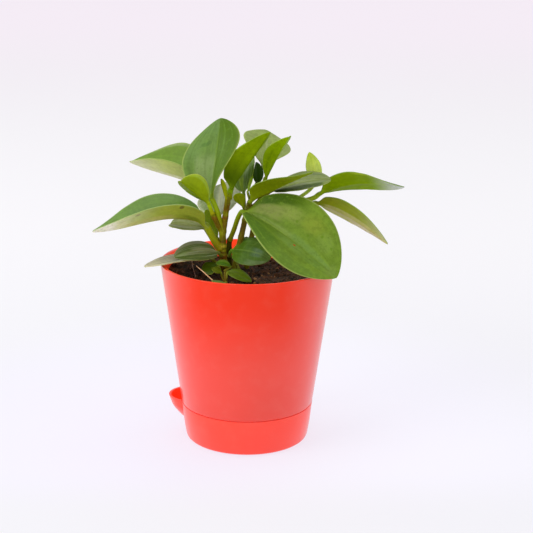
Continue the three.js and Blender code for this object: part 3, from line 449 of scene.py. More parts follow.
def build_leaf(leaf, number):
    n = 96
    M, T, S, N = blade_frames(leaf, n)
    L, W = leaf["length"], leaf["width"]
    big = L > 30
    across = 26 if big else 16
    us = np.linspace(-1, 1, across + 1)
    us = np.sign(us) * np.abs(us) ** 0.9
    k = 2 * len(us)
    r0 = leaf["petioleR"]
    seed = 3.1 * number
    nt = 60 if big else 30
    ts = [0.5 - 0.5 * math.cos(math.pi * (i / nt)) for i in range(nt)]
    ts = [0.0] + [0.35 * (i / nt) + 0.65 * t for i, t in enumerate(ts) if i > 0]
    ts = [t * 0.997 for t in ts]

    def at(A, t):
        f = min(max(t, 0), 1) * n
        i = min(int(f), n - 1)
        return A[i] * (1 - (f - i)) + A[i + 1] * (f - i)

    verts, uvs, cols = [], [], []

    def ring_round(p, sd, nr, r, v, tone):
        for j in range(k):
            top = j < len(us)
            u = us[len(us) - 1 - j] if top else us[j - len(us)]
            a = math.radians(90 - 82 * u if top else -90 + 82 * u)
            verts.append(p + sd * r * math.cos(a) + nr * r * math.sin(a))
            uvs.append((0.5 + 0.5 * u, v))
            cols.append((1.0 if top else 0.0, tone, 1.0, 1.0))

    # petiole
    path = catmull([*leaf["petiole"], leaf["base"]], 400)
    length = float(np.sum(np.linalg.norm(np.diff(path, axis=0), axis=1)))
    m = max(8, int(length / 0.8))
    sd = S[0].copy()
    rings = []
    prev = None
    for i in range(m, -1, -1):
        f = i / m
        p = path[int(round(f * 400))]
        j0, j1 = max(int(round(f * 400)) - 2, 0), min(int(round(f * 400)) + 2, 400)
        t = unit(path[j1] - path[j0])
        if i == m:
            t = T[0]
        sd = unit(sd - t * (sd @ t))
        nr = np.cross(t, sd)
        rings.append((p, sd.copy(), nr, f))
    rings = rings[::-1][:-1]
    for p, s_, n_, f in rings:
        flare = 1.0 + 0.28 * max(0.0, 1 - f * length / 3.0) ** 2
        wob = 1.0 + 0.03 * fbm(*(p * 0.35), 1.0, 2, seed)
        ring_round(p, s_, n_, r0 * flare * wob, -1.0 + f, f)
    # blade
    wave = leaf.get("wave", 0.5)
    for t in ts:
        Mt, St, Nt = at(M, t), unit(at(S, t)), unit(at(N, t))
        w = W / 2 * outline(t, *leaf["outline"])
        w *= 1.0 + 0.012 * fbm(t * 5.0, seed, 0.0, 1.0, 2)
        fold = leaf["fold"][0] + (leaf["fold"][1] - leaf["fold"][0]) * t
        h = leaf["thick"] * (1 - 0.45 * t)
        b = min(max(t / 0.12, 0), 1); b = b * b * (3 - 2 * b)
        for j in range(k):
            top = j < len(us)
            u = us[len(us) - 1 - j] if top else us[j - len(us)]
            au = abs(u)
            x, z = half_section(au, fold, leaf["cup"])
            sg = 1.0 if u > 0 else (-1.0 if u < 0 else 0.0)
            ang = fold - leaf["cup"] * au
            nrm = St * (-sg * math.sin(ang)) + Nt * math.cos(ang)
            hh = 0.5 * h * (0.34 + 0.66 * (1 - u * u))
            env = math.sin(math.pi * min(max(t, 0), 1)) ** 0.7
            # slow undulation of the blade, a soft crease over the midrib and a ridge under it
            und = wave * env * (0.35 + 0.65 * au) * fbm(u * 1.3 + seed, t * 3.2, seed, 1.0, 3) * min(1.0, W / 24)
            rib = math.exp(-(u * w / 0.9) ** 2) * (1 - 0.75 * t)
            lat = 0.5 + 0.5 * math.cos(2 * math.pi * (t * 6.5 - 1.15 * au ** 1.25 + 0.12))
            vein = lat ** 8 * (1 - au) * min(1, au * 5) * env
            if top:
                off = hh - 0.22 * rib * b - 0.05 * vein
            else:
                off = -hh - 0.42 * rib * b - 0.05 * vein
            bl = Mt + St * (sg * x * w) + Nt * (z * w) + nrm * (off + und)
            a = math.radians(90 - 82 * u if top else -90 + 82 * u)
            rr = r0 * (1 - 0.35 * min(t / 0.12, 1))
            rd = Mt + St * rr * math.cos(a) + Nt * rr * math.sin(a)
            verts.append(rd * (1 - b) + bl * b)
            uvs.append((0.5 + 0.5 * u, t))
            cols.append((1.0 if top else 0.0, 1.0, 0.0, 1.0))
    nr_ = len(verts) // k
    faces = []
    for i in range(nr_ - 1):
        for j in range(k):
            j2 = (j + 1) % k
            faces.append((i * k + j, i * k + j2, (i + 1) * k + j2, (i + 1) * k + j))
    a = len(verts)
    verts.append(rings[0][0]); uvs.append((0.5, -1.0)); cols.append((0.5, 0.0, 1.0, 1.0))
    verts.append(at(M, 1.0) + 0.0); uvs.append((0.5, 1.0)); cols.append((0.5, 1.0, 0.0, 1.0))
    last = (nr_ - 1) * k
    for j in range(k):
        j2 = (j + 1) % k
        faces.append((a, j2, j))
        faces.append((a + 1, last + j, last + j2))
    ob = new_object(leaf["name"] + "_skin", np.array(verts) * MM, faces, uvs=uvs, colors={"face": cols})
    return ob


def leaf_material(leaf, number):
    g = leaf["look"]
    m = Nodes("mat_" + leaf["name"])
    uv, ux, v = m.uv()
    obj = m.coords()
    # signed position across the blade, -1..1, and its size
    us = m.math("MULTIPLY_ADD", ux, 2.0, c=-1.0)
    au = m.math("ABSOLUTE", us)
    sep = m.new("ShaderNodeSeparateColor")
    m.link(m.attr("face"), sep.inputs[0])
    top, along, stalk = sep.outputs[0], sep.outputs[1], sep.outputs[2]

    big = m.noise(obj, 45.0, 3.0, 0.55)
    mid = m.noise(obj, 170.0, 4.0, 0.6)
    fine = m.noise(obj, 900.0, 3.0, 0.6)
    big_c = m.smooth(big, 0.32, 0.68)
    mid_c = m.smooth(mid, 0.35, 0.66)

    # side veins: pairs that leave the midrib and sweep towards the tip
    sweep = m.math("MULTIPLY", m.math("POWER", au, 1.25), 1.15)
    jitter = m.math("MULTIPLY", m.math("SUBTRACT", mid, 0.5), 0.10)
    phase = m.math("ADD", m.math("SUBTRACT", m.math("MULTIPLY", v, 6.5), sweep), jitter)
    wave = m.math("MULTIPLY_ADD", m.math("COSINE", m.math("MULTIPLY", m.math("ADD", phase, 0.12), 2 * math.pi)), 0.5, c=0.5)
    vein = m.math("MULTIPLY", m.math("POWER", wave, 14.0), m.smooth(au, 1.0, 0.55))
    vein = m.math("MULTIPLY", vein, m.smooth(v, 0.03, 0.12))
    # midrib, narrower towards the tip
    ribw = m.math("MULTIPLY", au, m.math("MULTIPLY_ADD", v, 10.0, c=14.0 * (leaf["width"] / 30.0)))
    rib = m.smooth(ribw, 1.4, 0.3)
    rib = m.math("MULTIPLY", rib, m.smooth(v, g.get("ribend", 0.98), g.get("ribend", 0.98) - 0.3))
    margin = m.smooth(au, 0.955, 0.992)

    # upper face
    up = m.mix(big_c, tint(g["top"], 0.90), tint(g["top"], 1.12))
    up = m.mix(m.math("MULTIPLY", mid_c, 0.30), up, tint(g["top"], 0.80))
    # painted shade and light: the two halves beside the midrib and the two ends are tinted apart (keys shade and
    # ushade); the streak lines below carry a painted sheen
    lead = m.combine(m.math("MULTIPLY_ADD", us, g.get("streakn", 5.0), c=number * 7.3), m.math("MULTIPLY", v, 0.9), number * 1.9)
    lines = m.noise(lead, 1.0, 4.0, 0.62)
    sheen_line, lo_line = m.smooth(lines, 0.50, 0.66), m.smooth(lines, 0.50, 0.36)
    mott = m.noise(obj, 420.0, 4.0, 0.62)

    # dark streak lines, painted sheen streaks in the sheen colour, and random mottle
    def grain_and_sheen(col, base, sheen, amount):
        col = m.mix(m.math("MULTIPLY", lo_line, amount), col, tint(base, 0.60))
        col = m.mix(m.math("MULTIPLY", sheen_line, amount), col, sheen)
        k = m.math("MULTIPLY", m.smooth(mott, 0.46, 0.66), g.get("mottle", 0.30))
        col = m.mix(k, col, tint(base, 0.70))
        k = m.math("MULTIPLY", m.smooth(mott, 0.48, 0.32), g.get("mottle", 0.30))
        return m.mix(k, col, tint(base, 1.28))

    # bands in u and v: the leaf's own colour zones, together with painted shade and painted sheen
    def bands(col, key):
        for u0, u1, v0, v1, sf, bc, amt in g.get(key, []):
            uu = m.math("ADD", us, m.math("MULTIPLY", m.math("SUBTRACT", mid, 0.5), sf * 1.4))
            k = m.math("MULTIPLY", m.smooth(uu, u0 - sf, u0 + sf), m.smooth(uu, u1 + sf, u1 - sf))
            k = m.math("MULTIPLY", k, m.math("MULTIPLY", m.smooth(v, v0 - sf, v0 + sf), m.smooth(v, v1 + sf, v1 - sf)))
            col = m.mix(m.math("MULTIPLY", k, amt), col, bc)
        return col

    # painted shade and light: one half of the blade and one end are tinted lighter or darker than the other
    def ends(col, key):
        lo, hi, near, far = g.get(key, ((1, 1, 1), (1, 1, 1), (1, 1, 1), (1, 1, 1)))
        k = m.mix(m.smooth(us, -0.05, 0.05), (*[min(c, 4.0) for c in lo], 1), (*hi, 1))
        col = m.mix(1.0, col, k, "MULTIPLY")
        k = m.mix(m.smooth(v, 0.12, 0.88), (*near, 1), (*far, 1))
        return m.mix(1.0, col, k, "MULTIPLY")

    # oval patches: painted sheen and shade, and patches of the leaf's own colour
    def tone_and_sheen_patches(col, key):
        for pu, pv, ru, rv, pcol, amount in g.get(key, []):
            du = m.math("MULTIPLY", m.math("SUBTRACT", us, pu), 1.0 / ru)
            dv = m.math("MULTIPLY", m.math("SUBTRACT", v, pv), 1.0 / rv)
            dd = m.math("SQRT", m.math("ADD", m.math("MULTIPLY", du, du), m.math("MULTIPLY", dv, dv)))
            dd = m.math("ADD", dd, m.math("MULTIPLY", m.math("SUBTRACT", mid, 0.5), 0.55))
            col = m.mix(m.math("MULTIPLY", m.smooth(dd, 1.15, 0.45), amount), col, pcol)
        return col

    up = ends(up, "shade")
    up = bands(up, "bands")
    up = tone_and_sheen_patches(up, "patches")
    up = grain_and_sheen(up, g["top"], g.get("sheen", tint(g["top"], 1.45)), g.get("streak", 0.22))
    up = m.mix(m.math("MULTIPLY", rib, g.get("ribmix", 0.35)), up, g["rib"])
    up = m.mix(m.math("MULTIPLY", vein, g.get("veinmix", 0.10)), up, g["rib"])
    # small dark and pale flecks
    fl = m.voronoi(obj, 330.0)
    up = m.mix(m.math("MULTIPLY", m.smooth(fl, 0.20, 0.08), g.get("fleck", 0.30)), up, tint(g["top"], 0.45))
    fl2 = m.voronoi(obj, 520.0)
    up = m.mix(m.math("MULTIPLY", m.smooth(fl2, 0.18, 0.05), g.get("dot", 0.15)), up, tint(g["top"], 1.7))

    # under face: paler, yellower, with the rib and veins a little lighter
    un = m.mix(big_c, tint(g["under"], 0.90), tint(g["under"], 1.10))
    # towards the tip the under face shifts to the tip colour: a paler tone, and on the whitest tips a painted sheen
    un = m.mix(m.smooth(v, g.get("tip0", 0.45), g.get("tip1", 1.0)), un, g["tip"])
    un = ends(un, "ushade")
    un = bands(un, "ubands")
    un = tone_and_sheen_patches(un, "upatches")
    un = grain_and_sheen(un, g["under"], g.get("usheen", tint(g["under"], 1.25)), g.get("ustreak", 0.16))
    un = m.mix(m.math("MULTIPLY", mid_c, 0.18), un, tint(g["under"], 0.72))
    un = m.mix(m.math("MULTIPLY", rib, g.get("uribmix", 0.35)), un, g["underrib"])
    un = m.mix(m.math("MULTIPLY", vein, g.get("uveinmix", 0.10)), un, g["underrib"])
    fl3 = m.voronoi(obj, 610.0)
    un = m.mix(m.math("MULTIPLY", m.smooth(fl3, 0.16, 0.05), 0.25), un, tint(g["under"], 0.55))

    col = m.mix(top, un, up)
    col = m.mix(m.math("MULTIPLY", margin, g.get("rim", 0.75)), col, g["edge"])
    # scars: small dry marks
    for (su, sv, ru, rv, sc, amt) in g.get("scars", []):
        du = m.math("MULTIPLY", m.math("SUBTRACT", us, su), 1.0 / ru)
        dv = m.math("MULTIPLY", m.math("SUBTRACT", v, sv), 1.0 / rv)
        dd = m.math("SQRT", m.math("ADD", m.math("MULTIPLY", du, du), m.math("MULTIPLY", dv, dv)))
        dd = m.math("ADD", dd, m.math("MULTIPLY", m.math("SUBTRACT", mid, 0.5), 0.9))
        col = m.mix(m.math("MULTIPLY", m.smooth(dd, 1.0, 0.55), amt), col, sc)
    # petiole
    pet = m.mix(m.smooth(along, 0.0, 0.7), g["foot_tint"], g["pet"])
    streak = m.noise(obj, 420.0, 4.0, 0.6)
    pet = m.mix(m.math("MULTIPLY", m.smooth(streak, 0.45, 0.7), 0.35), pet, tint(g["pet"], 0.55))
    foot = m.smooth(v, 0.16, 0.0)
    stalkness = m.math("MAXIMUM", stalk, m.math("MULTIPLY", foot, g.get("foot", 0.45)))
    col = m.mix(stalkness, col, pet)

    rough = m.math("ADD", m.math("MULTIPLY", m.math("SUBTRACT", mid, 0.5), 0.22), g.get("rough", 0.42), clamp=True)
    h = m.math("ADD", m.math("MULTIPLY", fine, 0.35), m.math("MULTIPLY", mid, 0.8))
    h = m.math("SUBTRACT", h, m.math("MULTIPLY", vein, 0.3))
    nrm = m.bump(h, 0.20, 0.0003)
    # the upper face is waxy and glossy, the under face and the stalk are duller
    a_ = m.shader(col, rough, nrm, Specular_IOR_Level=g.get("spec", 0.45), Subsurface_Weight=g.get("sss", 0.10),
                  Subsurface_Radius=(0.0016, 0.0022, 0.0008), Subsurface_Scale=1.0)
    b_ = m.shader(col, m.math("ADD", rough, 0.10), nrm, Specular_IOR_Level=g.get("uspec", 0.15), Subsurface_Weight=g.get("sss", 0.10),
                  Subsurface_Radius=(0.0016, 0.0022, 0.0008), Subsurface_Scale=1.0)
    ms = m.new("ShaderNodeMixShader")
    m.put(ms.inputs[0], m.math("MULTIPLY", top, m.math("SUBTRACT", 1.0, stalk)))
    m.link(b_.outputs[0], ms.inputs[1])
    m.link(a_.outputs[0], ms.inputs[2])
    m.link(ms.outputs[0], m.out.inputs[0])
    return m.mat


def look(top=None, under=None, tip=None, pet=None, rib=None, underrib=None, edge=None, foot_tint=None, **kw):
    d = dict(top=top or (0.14, 0.25, 0.05, 1), under=under or (0.26, 0.34, 0.03, 1), pet=pet or (0.2, 0.26, 0.012, 1))
    d["tip"] = tip or d["under"]
    d["rib"] = rib or (d["top"][0] * 1.35 + 0.03, d["top"][1] * 1.25 + 0.04, d["top"][2] * 0.9 + 0.005, 1)
    d["underrib"] = underrib or (d["under"][0] * 1.3 + 0.02, d["under"][1] * 1.2 + 0.03, d["under"][2] * 1.0 + 0.004, 1)
    d["edge"] = edge or (d["top"][0] * 1.3 + 0.06, d["top"][1] * 1.2 + 0.07, d["top"][2] + 0.02, 1)
    d["foot_tint"] = foot_tint or (d["pet"][0] * 0.9, d["pet"][1] * 0.62, d["pet"][2] * 0.8, 1)
    d.update(kw)
    return d


# Per-leaf looks. Much of this is painted light: the shade factors are painted shade, leaf_back_small's near-black top
# is painted shade, the pale grey tops of leaf_over_rim_left and leaf_back_wide are painted sheen, sheen and usheen are
# painted sheen colours, and many bands and patches paint shade and sheen beside the leaves' own colours.
LOOKS = {
    'leaf_front_right_big': look(top=(0.1362, 0.2223, 0.0215, 1), under=(0.2400, 0.3100, 0.0250, 1), tip=(0.3000, 0.3600, 0.0500, 1), pet=(0.2161, 0.3046, 0.0026, 1), spec=0.05, patches=[(0.55, 0.56, 0.25, 0.1, (0.2276, 0.2829, 0.0334, 1), 0.5), (0.5, 0.74, 0.3, 0.1, (0.1792, 0.2746, 0.0474, 1), 0.5), (0, 0.95, 0.6, 0.08, (0.1544, 0.2314, 0.0444, 1), 0.6)], scars=[(-0.15, 0.57, 0.034, 0.014, (0.4000, 0.0350, 0.0080, 1), 0.95), (0.88, 0.73, 0.045, 0.014, (0.1000, 0.1900, 0.0080, 1), 0.6), (0.54, 0.68, 0.045, 0.014, (0.1000, 0.1900, 0.0080, 1), 0.6), (0.41, 0.45, 0.045, 0.014, (0.1000, 0.1900, 0.0080, 1), 0.6), (0.58, 0.8, 0.045, 0.014, (0.1000, 0.1900, 0.0080, 1), 0.6), (0.31, 0.59, 0.045, 0.014, (0.1000, 0.1900, 0.0080, 1), 0.6)], ribend=0.5, ribmix=0.45, edge=(0.3000, 0.3800, 0.0900, 1), bands=[(0.47, 1.3, -0.2, 0.16, 0.05, (0.0387, 0.0880, 0.0015, 1), 0.93), (0.6, 1.3, 0.12, 0.27, 0.05, (0.0387, 0.0880, 0.0015, 1), 0.93), (0.69, 1.3, 0.22, 0.36, 0.05, (0.0387, 0.0880, 0.0015, 1), 0.93), (0.77, 1.3, 0.32, 0.42, 0.06, (0.0571, 0.1160, 0.0015, 1), 0.85), (0.9, 1.3, 0.42, 0.62, 0.08, (0.1485, 0.2276, 0.0113, 1), 0.6), (0.2, 0.58, 0.1, 0.33, 0.06, (0.2351, 0.2544, 0.0716, 1), 0.7), (0.35, 0.66, 0.3, 0.46, 0.08, (0.2584, 0.3131, 0.0678, 1), 0.7), (0.45, 0.85, 0.5, 0.7, 0.1, (0.1792, 0.2427, 0.0180, 1), 0.5), (-0.02, 0.13, 0.02, 0.5, 0.03, (0.1991, 0.2829, 0.0571, 1), 0.8), (0, 0.16, 0.48, 0.92, 0.05, (0.1485, 0.2505, 0.0571, 1), 0.6), (-1.3, -0.45, 0, 0.5, 0.08, (0.0606, 0.1372, 0.0145, 1), 0.75), (-0.45, -0.05, 0.03, 0.42, 0.08, (0.0923, 0.1792, 0.0128, 1), 0.6), (-0.35, -0.08, 0.42, 0.66, 0.08, (0.1485, 0.2466, 0.0571, 1), 0.6), (-1.3, -0.6, 0.5, 0.95, 0.12, (0.0968, 0.1728, 0.0262, 1), 0.6), (-0.35, -0.05, 0.72, 0.86, 0.06, (0.0968, 0.1792, 0.0309, 1), 0.7)], streak=0.26, streakn=6, mottle=0.42, veinmix=0.06),
    'leaf_top_upright': look(top=(0.1092, 0.1956, 0.0329, 1), under=(0.2400, 0.3100, 0.0250, 1), tip=(0.3000, 0.3600, 0.0500, 1), pet=(0.3018, 0.4312, 0.0020, 1), shade=((0.58, 0.64, 0.17), (1.12, 1.10, 1.15), (1.00, 1.00, 1.00), (1.00, 1.00, 1.00)), patches=[(0.42, 0.66, 0.16, 0.035, (0.0681, 0.1439, 0.0300, 1), 0.7), (0.3, 0.69, 0.1, 0.03, (0.0715, 0.1490, 0.0322, 1), 0.6), (-0.4, 0.45, 0.06, 0.12, (0.0823, 0.1439, 0.0065, 1), 0.5)], edge=(0.2800, 0.3600, 0.0700, 1), spec=0.07, bands=[(-0.02, 0.62, 0, 0.5, 0.1, (0.2200, 0.3025, 0.1025, 1), 0.85), (0.02, 1.2, 0.78, 1.1, 0.12, (0.1162, 0.2066, 0.0619, 1), 0.6), (0.5, 1, 0.45, 0.75, 0.12, (0.1284, 0.2166, 0.0653, 1), 0.5), (-0.9, -0.04, 0.06, 0.94, 0.035, (0.0688, 0.1361, 0.0033, 1), 0.9), (-1.2, -0.88, 0.1, 0.95, 0.04, (0.1092, 0.1722, 0.0140, 1), 0.7), (0.955, 1.2, -0.1, 1.1, 0.02, (0.2099, 0.3066, 0.0798, 1), 0.7)], streak=0.34, streakn=8, mottle=0.28, veinmix=0.04),
    'leaf_young_left': look(top=(0.2914, 0.3319, 0.0529, 1), under=(0.2483, 0.3430, 0.0022, 1), tip=(0.2494, 0.3370, 0.0083, 1), pet=(0.4467, 0.6127, 0.0064, 1), uspec=0.08, spec=0.2, rim=0.8, ubands=[(-0.05, 0.35, 0.42, 0.9, 0.12, (0.2031, 0.3012, 0.0015, 1), 0.55), (0.8, 1.2, 0.1, 1.1, 0.06, (0.3643, 0.5115, 0.0568, 1), 0.7)], streak=0.2, streakn=5),
    'leaf_long_left': look(top=(0.1188, 0.2242, 0.0320, 1), under=(0.3363, 0.4184, 0.0377, 1), tip=(0.5388, 0.5906, 0.2964, 1), pet=(0.3450, 0.4250, 0.0048, 1), tip0=0.42, tip1=0.85, scars=[(0.82, 0.3, 0.16, 0.022, (0.1000, 0.0750, 0.0120, 1), 0.75), (0.74, 0.64, 0.1, 0.03, (0.2000, 0.1500, 0.0500, 1), 0.7)], edge=(0.3200, 0.4200, 0.1400, 1), spec=0.22, bands=[(0.97, 1.2, 0, 1, 0.02, (0.2262, 0.3071, 0.0928, 1), 0.6), (-1.2, -0.75, 0.1, 0.35, 0.1, (0.1332, 0.2229, 0.0774, 1), 0.5)], ubands=[(-0.1, 0.32, -0.1, 0.25, 0.08, (0.1132, 0.1852, 0.0063, 1), 0.75), (0.9, 1.2, -0.1, 0.1, 0.05, (0.4718, 0.4931, 0.0080, 1), 0.7), (-1.2, 0.27, 0.33, 0.74, 0.05, (0.5075, 0.4931, 0.1327, 1), 0.75), (-1.2, 1.2, 0.72, 0.84, 0.06, (0.8009, 0.8009, 0.4718, 1), 0.5), (-1.2, 1.2, 0.82, 1.2, 0.05, (0.9000, 0.9000, 0.8009, 1), 0.85)], streak=0.34, streakn=7),
    'leaf_upper_left': look(top=(0.1332, 0.2363, 0.0198, 1), under=(0.4861, 0.5574, 0.1281, 1), tip=(0.6408, 0.6662, 0.4115, 1), pet=(0.2000, 0.2500, 0.0120, 1), tip0=0.3, tip1=0.9, edge=(0.3000, 0.4000, 0.1000, 1), spec=0.2, bands=[(-1.2, -0.9, 0.2, 0.9, 0.03, (0.2935, 0.3592, 0.1617, 1), 0.6)], streak=0.25, streakn=7, ubands=[(-1.2, 0.18, 0.05, 0.62, 0.06, (0.6891, 0.6728, 0.4819, 1), 0.75), (0.4, 0.75, 0.1, 0.3, 0.08, (0.3940, 0.4622, 0.1028, 1), 0.5)]),
    'leaf_back_left': look(top=(0.2318, 0.2670, 0.0895, 1), under=(0.2400, 0.3100, 0.0250, 1), tip=(0.3000, 0.3600, 0.0500, 1), pet=(0.2000, 0.2500, 0.0120, 1), spec=0.2, bands=[(-1.3, -0.78, -0.2, 0.8, 0.06, (0.1027, 0.1523, 0.0258, 1), 0.7), (-0.6, 0.4, -0.2, 0.2, 0.08, (0.1262, 0.1422, 0.0173, 1), 0.6)], streak=0.5, streakn=6, sheen=(0.4685, 0.4685, 0.3481, 1)),
    'leaf_low_left': look(top=(0.1498, 0.1779, 0.0603, 1), under=(0.2400, 0.3100, 0.0250, 1), tip=(0.3000, 0.3600, 0.0500, 1), pet=(0.2000, 0.2500, 0.0120, 1), spec=0.12, bands=[(0.42, 1.3, -0.2, 1, 0.08, (0.0420, 0.0820, 0.0020, 1), 0.92), (-0.92, -0.66, 0.15, 0.8, 0.06, (0.3045, 0.2943, 0.2110, 1), 0.8), (-0.25, -0.05, 0.05, 0.62, 0.05, (0.2282, 0.2282, 0.1116, 1), 0.7), (-0.6, -0.36, 0.05, 0.75, 0.06, (0.0701, 0.1116, 0.0145, 1), 0.8), (0.24, 0.36, 0.05, 0.75, 0.04, (0.1946, 0.1987, 0.0844, 1), 0.8), (0.66, 0.72, 0.1, 0.8, 0.03, (0.1569, 0.2027, 0.0572, 1), 0.7), (-1.3, -0.96, -0.1, 1, 0.03, (0.1176, 0.1714, 0.0387, 1), 0.6), (-0.3, 0.4, 0.75, 1.1, 0.08, (0.1790, 0.2647, 0.0701, 1), 0.6), (-0.55, -0.1, 0.6, 0.95, 0.07, (0.0700, 0.1150, 0.0120, 1), 0.8), (-0.12, 0.15, 0.1, 0.5, 0.06, (0.2350, 0.2300, 0.1250, 1), 0.6)], streak=0.62, streakn=9, sheen=(0.3937, 0.4305, 0.3045, 1)),
    'leaf_over_rim_left': look(top=(0.4000, 0.3650, 0.2350, 1), under=(0.2400, 0.3100, 0.0250, 1), tip=(0.3000, 0.3600, 0.0500, 1), pet=(0.2000, 0.2500, 0.0120, 1), spec=0.2, bands=[(0.3, 0.55, 0, 0.9, 0.06, (0.2635, 0.2733, 0.1477, 1), 0.7), (-0.2, 0, 0.1, 0.9, 0.05, (0.6167, 0.5705, 0.4575, 1), 0.6), (-1.3, -0.93, -0.1, 1, 0.03, (0.1927, 0.2540, 0.0590, 1), 0.7), (-0.6, -0.48, 0.1, 0.8, 0.04, (0.2635, 0.2446, 0.1477, 1), 0.5), (-1.3, 1.3, 0.72, 1.2, 0.08, (0.7000, 0.6600, 0.4400, 1), 0.65), (0.48, 1.3, -0.1, 0.8, 0.1, (0.1500, 0.1750, 0.0350, 1), 0.8)], streak=0.6, streakn=8, sheen=(0.7152, 0.6814, 0.5556, 1)),
    'leaf_top_centre': look(top=(0.1300, 0.2200, 0.0450, 1), under=(0.1069, 0.1827, 0.0020, 1), tip=(0.2828, 0.4085, 0.0023, 1), pet=(0.3468, 0.5379, 0.0071, 1), uspec=0.03, spec=0.28, tip0=0.08, tip1=0.66, ubands=[(-1.3, -0.9, 0.1, 0.5, 0.05, (0.1603, 0.2459, 0.0015, 1), 0.7), (-1.3, -0.95, 0.6, 1.2, 0.02, (0.5407, 0.7039, 0.0785, 1), 0.6)]),
    'leaf_top_right': look(top=(0.1300, 0.2200, 0.0450, 1), under=(0.2170, 0.3327, 0.0015, 1), tip=(0.2766, 0.4281, 0.0015, 1), pet=(0.2000, 0.2500, 0.0120, 1), uspec=0.03, spec=0.28, tip0=0.5, ubands=[(-0.62, -0.44, 0.2, 0.62, 0.06, (0.1500, 0.2508, 0.0015, 1), 0.7), (-1.3, -0.93, 0.7, 1.2, 0.03, (0.7244, 0.8604, 0.1903, 1), 0.6)]),
    'leaf_back_round': look(top=(0.2318, 0.3056, 0.0680, 1), under=(0.2400, 0.3100, 0.0250, 1), tip=(0.3000, 0.3600, 0.0500, 1), pet=(0.2000, 0.2500, 0.0120, 1), spec=0.16, streak=0.2, streakn=6, ribmix=0.45, veinmix=0.2, rib=(0.3572, 0.4060, 0.1968, 1)),
    'leaf_back_small': look(top=(0.0209, 0.0547, 0.0015, 1), under=(0.2400, 0.3100, 0.0250, 1), tip=(0.3000, 0.3600, 0.0500, 1), pet=(0.2000, 0.2500, 0.0120, 1), spec=0.02, uspec=0.05, rib=(0.0200, 0.0450, 0.0010, 1), edge=(0.0500, 0.0900, 0.0030, 1), rough=0.6, sss=0, streak=0.1, mottle=0.1, rim=0.3),
    'leaf_right_narrow': look(top=(0.1300, 0.2200, 0.0450, 1), under=(0.1856, 0.2426, 0.0021, 1), tip=(0.2376, 0.3242, 0.0053, 1), pet=(0.2200, 0.2800, 0.0140, 1), uspec=0.03, spec=0.28, ubands=[]),
    'leaf_right_back': look(top=(0.1892, 0.2445, 0.0554, 1), under=(0.2400, 0.3100, 0.0250, 1), tip=(0.3000, 0.3600, 0.0500, 1), pet=(0.2000, 0.2500, 0.0120, 1), spec=0.15, bands=[(-1.3, -0.56, -0.2, 0.9, 0.08, (0.0302, 0.0739, 0.0015, 1), 0.92), (-0.5, -0.3, 0.05, 0.9, 0.06, (0.2138, 0.2707, 0.1580, 1), 0.6), (0.52, 0.74, 0.2, 0.9, 0.05, (0.0916, 0.1517, 0.0207, 1), 0.7), (0.92, 1.3, 0.1, 1.2, 0.03, (0.3657, 0.4307, 0.1279, 1), 0.7), (-0.12, -0.02, 0.1, 0.85, 0.03, (0.0916, 0.1336, 0.0446, 1), 0.6), (-1.3, -0.6, 0.88, 1.2, 0.05, (0.3257, 0.4139, 0.1115, 1), 0.6)], streak=0.55, streakn=8, sheen=(0.3067, 0.3355, 0.2373, 1)),
    'leaf_young_right': look(top=(0.1300, 0.2200, 0.0450, 1), under=(0.5248, 0.6392, 0.1025, 1), tip=(0.3646, 0.4800, 0.0099, 1), pet=(0.3400, 0.4600, 0.0500, 1), foot_tint=(0.2800, 0.3400, 0.0200, 1), uspec=0.1, spec=0.28, rough=0.5),
    'leaf_far_right_upper': look(top=(0.1300, 0.2200, 0.0450, 1), under=(0.2451, 0.3741, 0.0015, 1), tip=(0.7650, 0.7650, 0.8100, 1), pet=(0.3000, 0.4200, 0.0200, 1), tip0=0.58, tip1=1, uspec=0.02, foot_tint=(0.3000, 0.3800, 0.0200, 1), spec=0.28, ubands=[(-1.3, -0.82, 0.45, 0.85, 0.08, (0.6136, 0.7200, 0.0466, 1), 0.5), (-1.3, -0.55, 0.8, 1.2, 0.06, (0.7200, 0.7200, 0.7200, 1), 0.7)], streak=0.3),
    'leaf_far_right_lower': look(top=(0.1300, 0.2200, 0.0450, 1), under=(0.2984, 0.3819, 0.0128, 1), tip=(0.5112, 0.5794, 0.2707, 1), pet=(0.2000, 0.2500, 0.0120, 1), tip0=0.5, tip1=1, uspec=0.12, spec=0.28, ubands=[(-0.2, 1.3, 0.12, 1.2, 0.05, (0.5597, 0.5597, 0.2135, 1), 0.88), (0.6, 1.3, 0.45, 1.2, 0.1, (0.7308, 0.7125, 0.5060, 1), 0.7)]),
    'leaf_low_front': look(top=(0.0973, 0.1889, 0.0318, 1), under=(0.2400, 0.3100, 0.0250, 1), tip=(0.3000, 0.3600, 0.0500, 1), pet=(0.2421, 0.5135, 0.0340, 1), spec=0.08, bands=[(-1.3, 1.3, -0.2, 0.33, 0.07, (0.0803, 0.1702, 0.0015, 1), 0.85), (0.15, 0.5, 0, 0.16, 0.06, (0.1776, 0.2473, 0.0027, 1), 0.7), (0.28, 1.3, 0.38, 0.8, 0.08, (0.0667, 0.1298, 0.0101, 1), 0.75), (-0.34, 0.28, 0.55, 0.78, 0.07, (0.1236, 0.2047, 0.1176, 1), 0.85), (-1.3, -0.62, 0.5, 0.95, 0.07, (0.1631, 0.2428, 0.1062, 1), 0.85), (-0.4, 0.5, 0.79, 0.94, 0.05, (0.0756, 0.1236, 0.0253, 1), 0.7)], patches=[], streak=0.3, streakn=6, ribmix=0.3, veinmix=0.1, rib=(0.2624, 0.4144, 0.0788, 1), mottle=0.35),
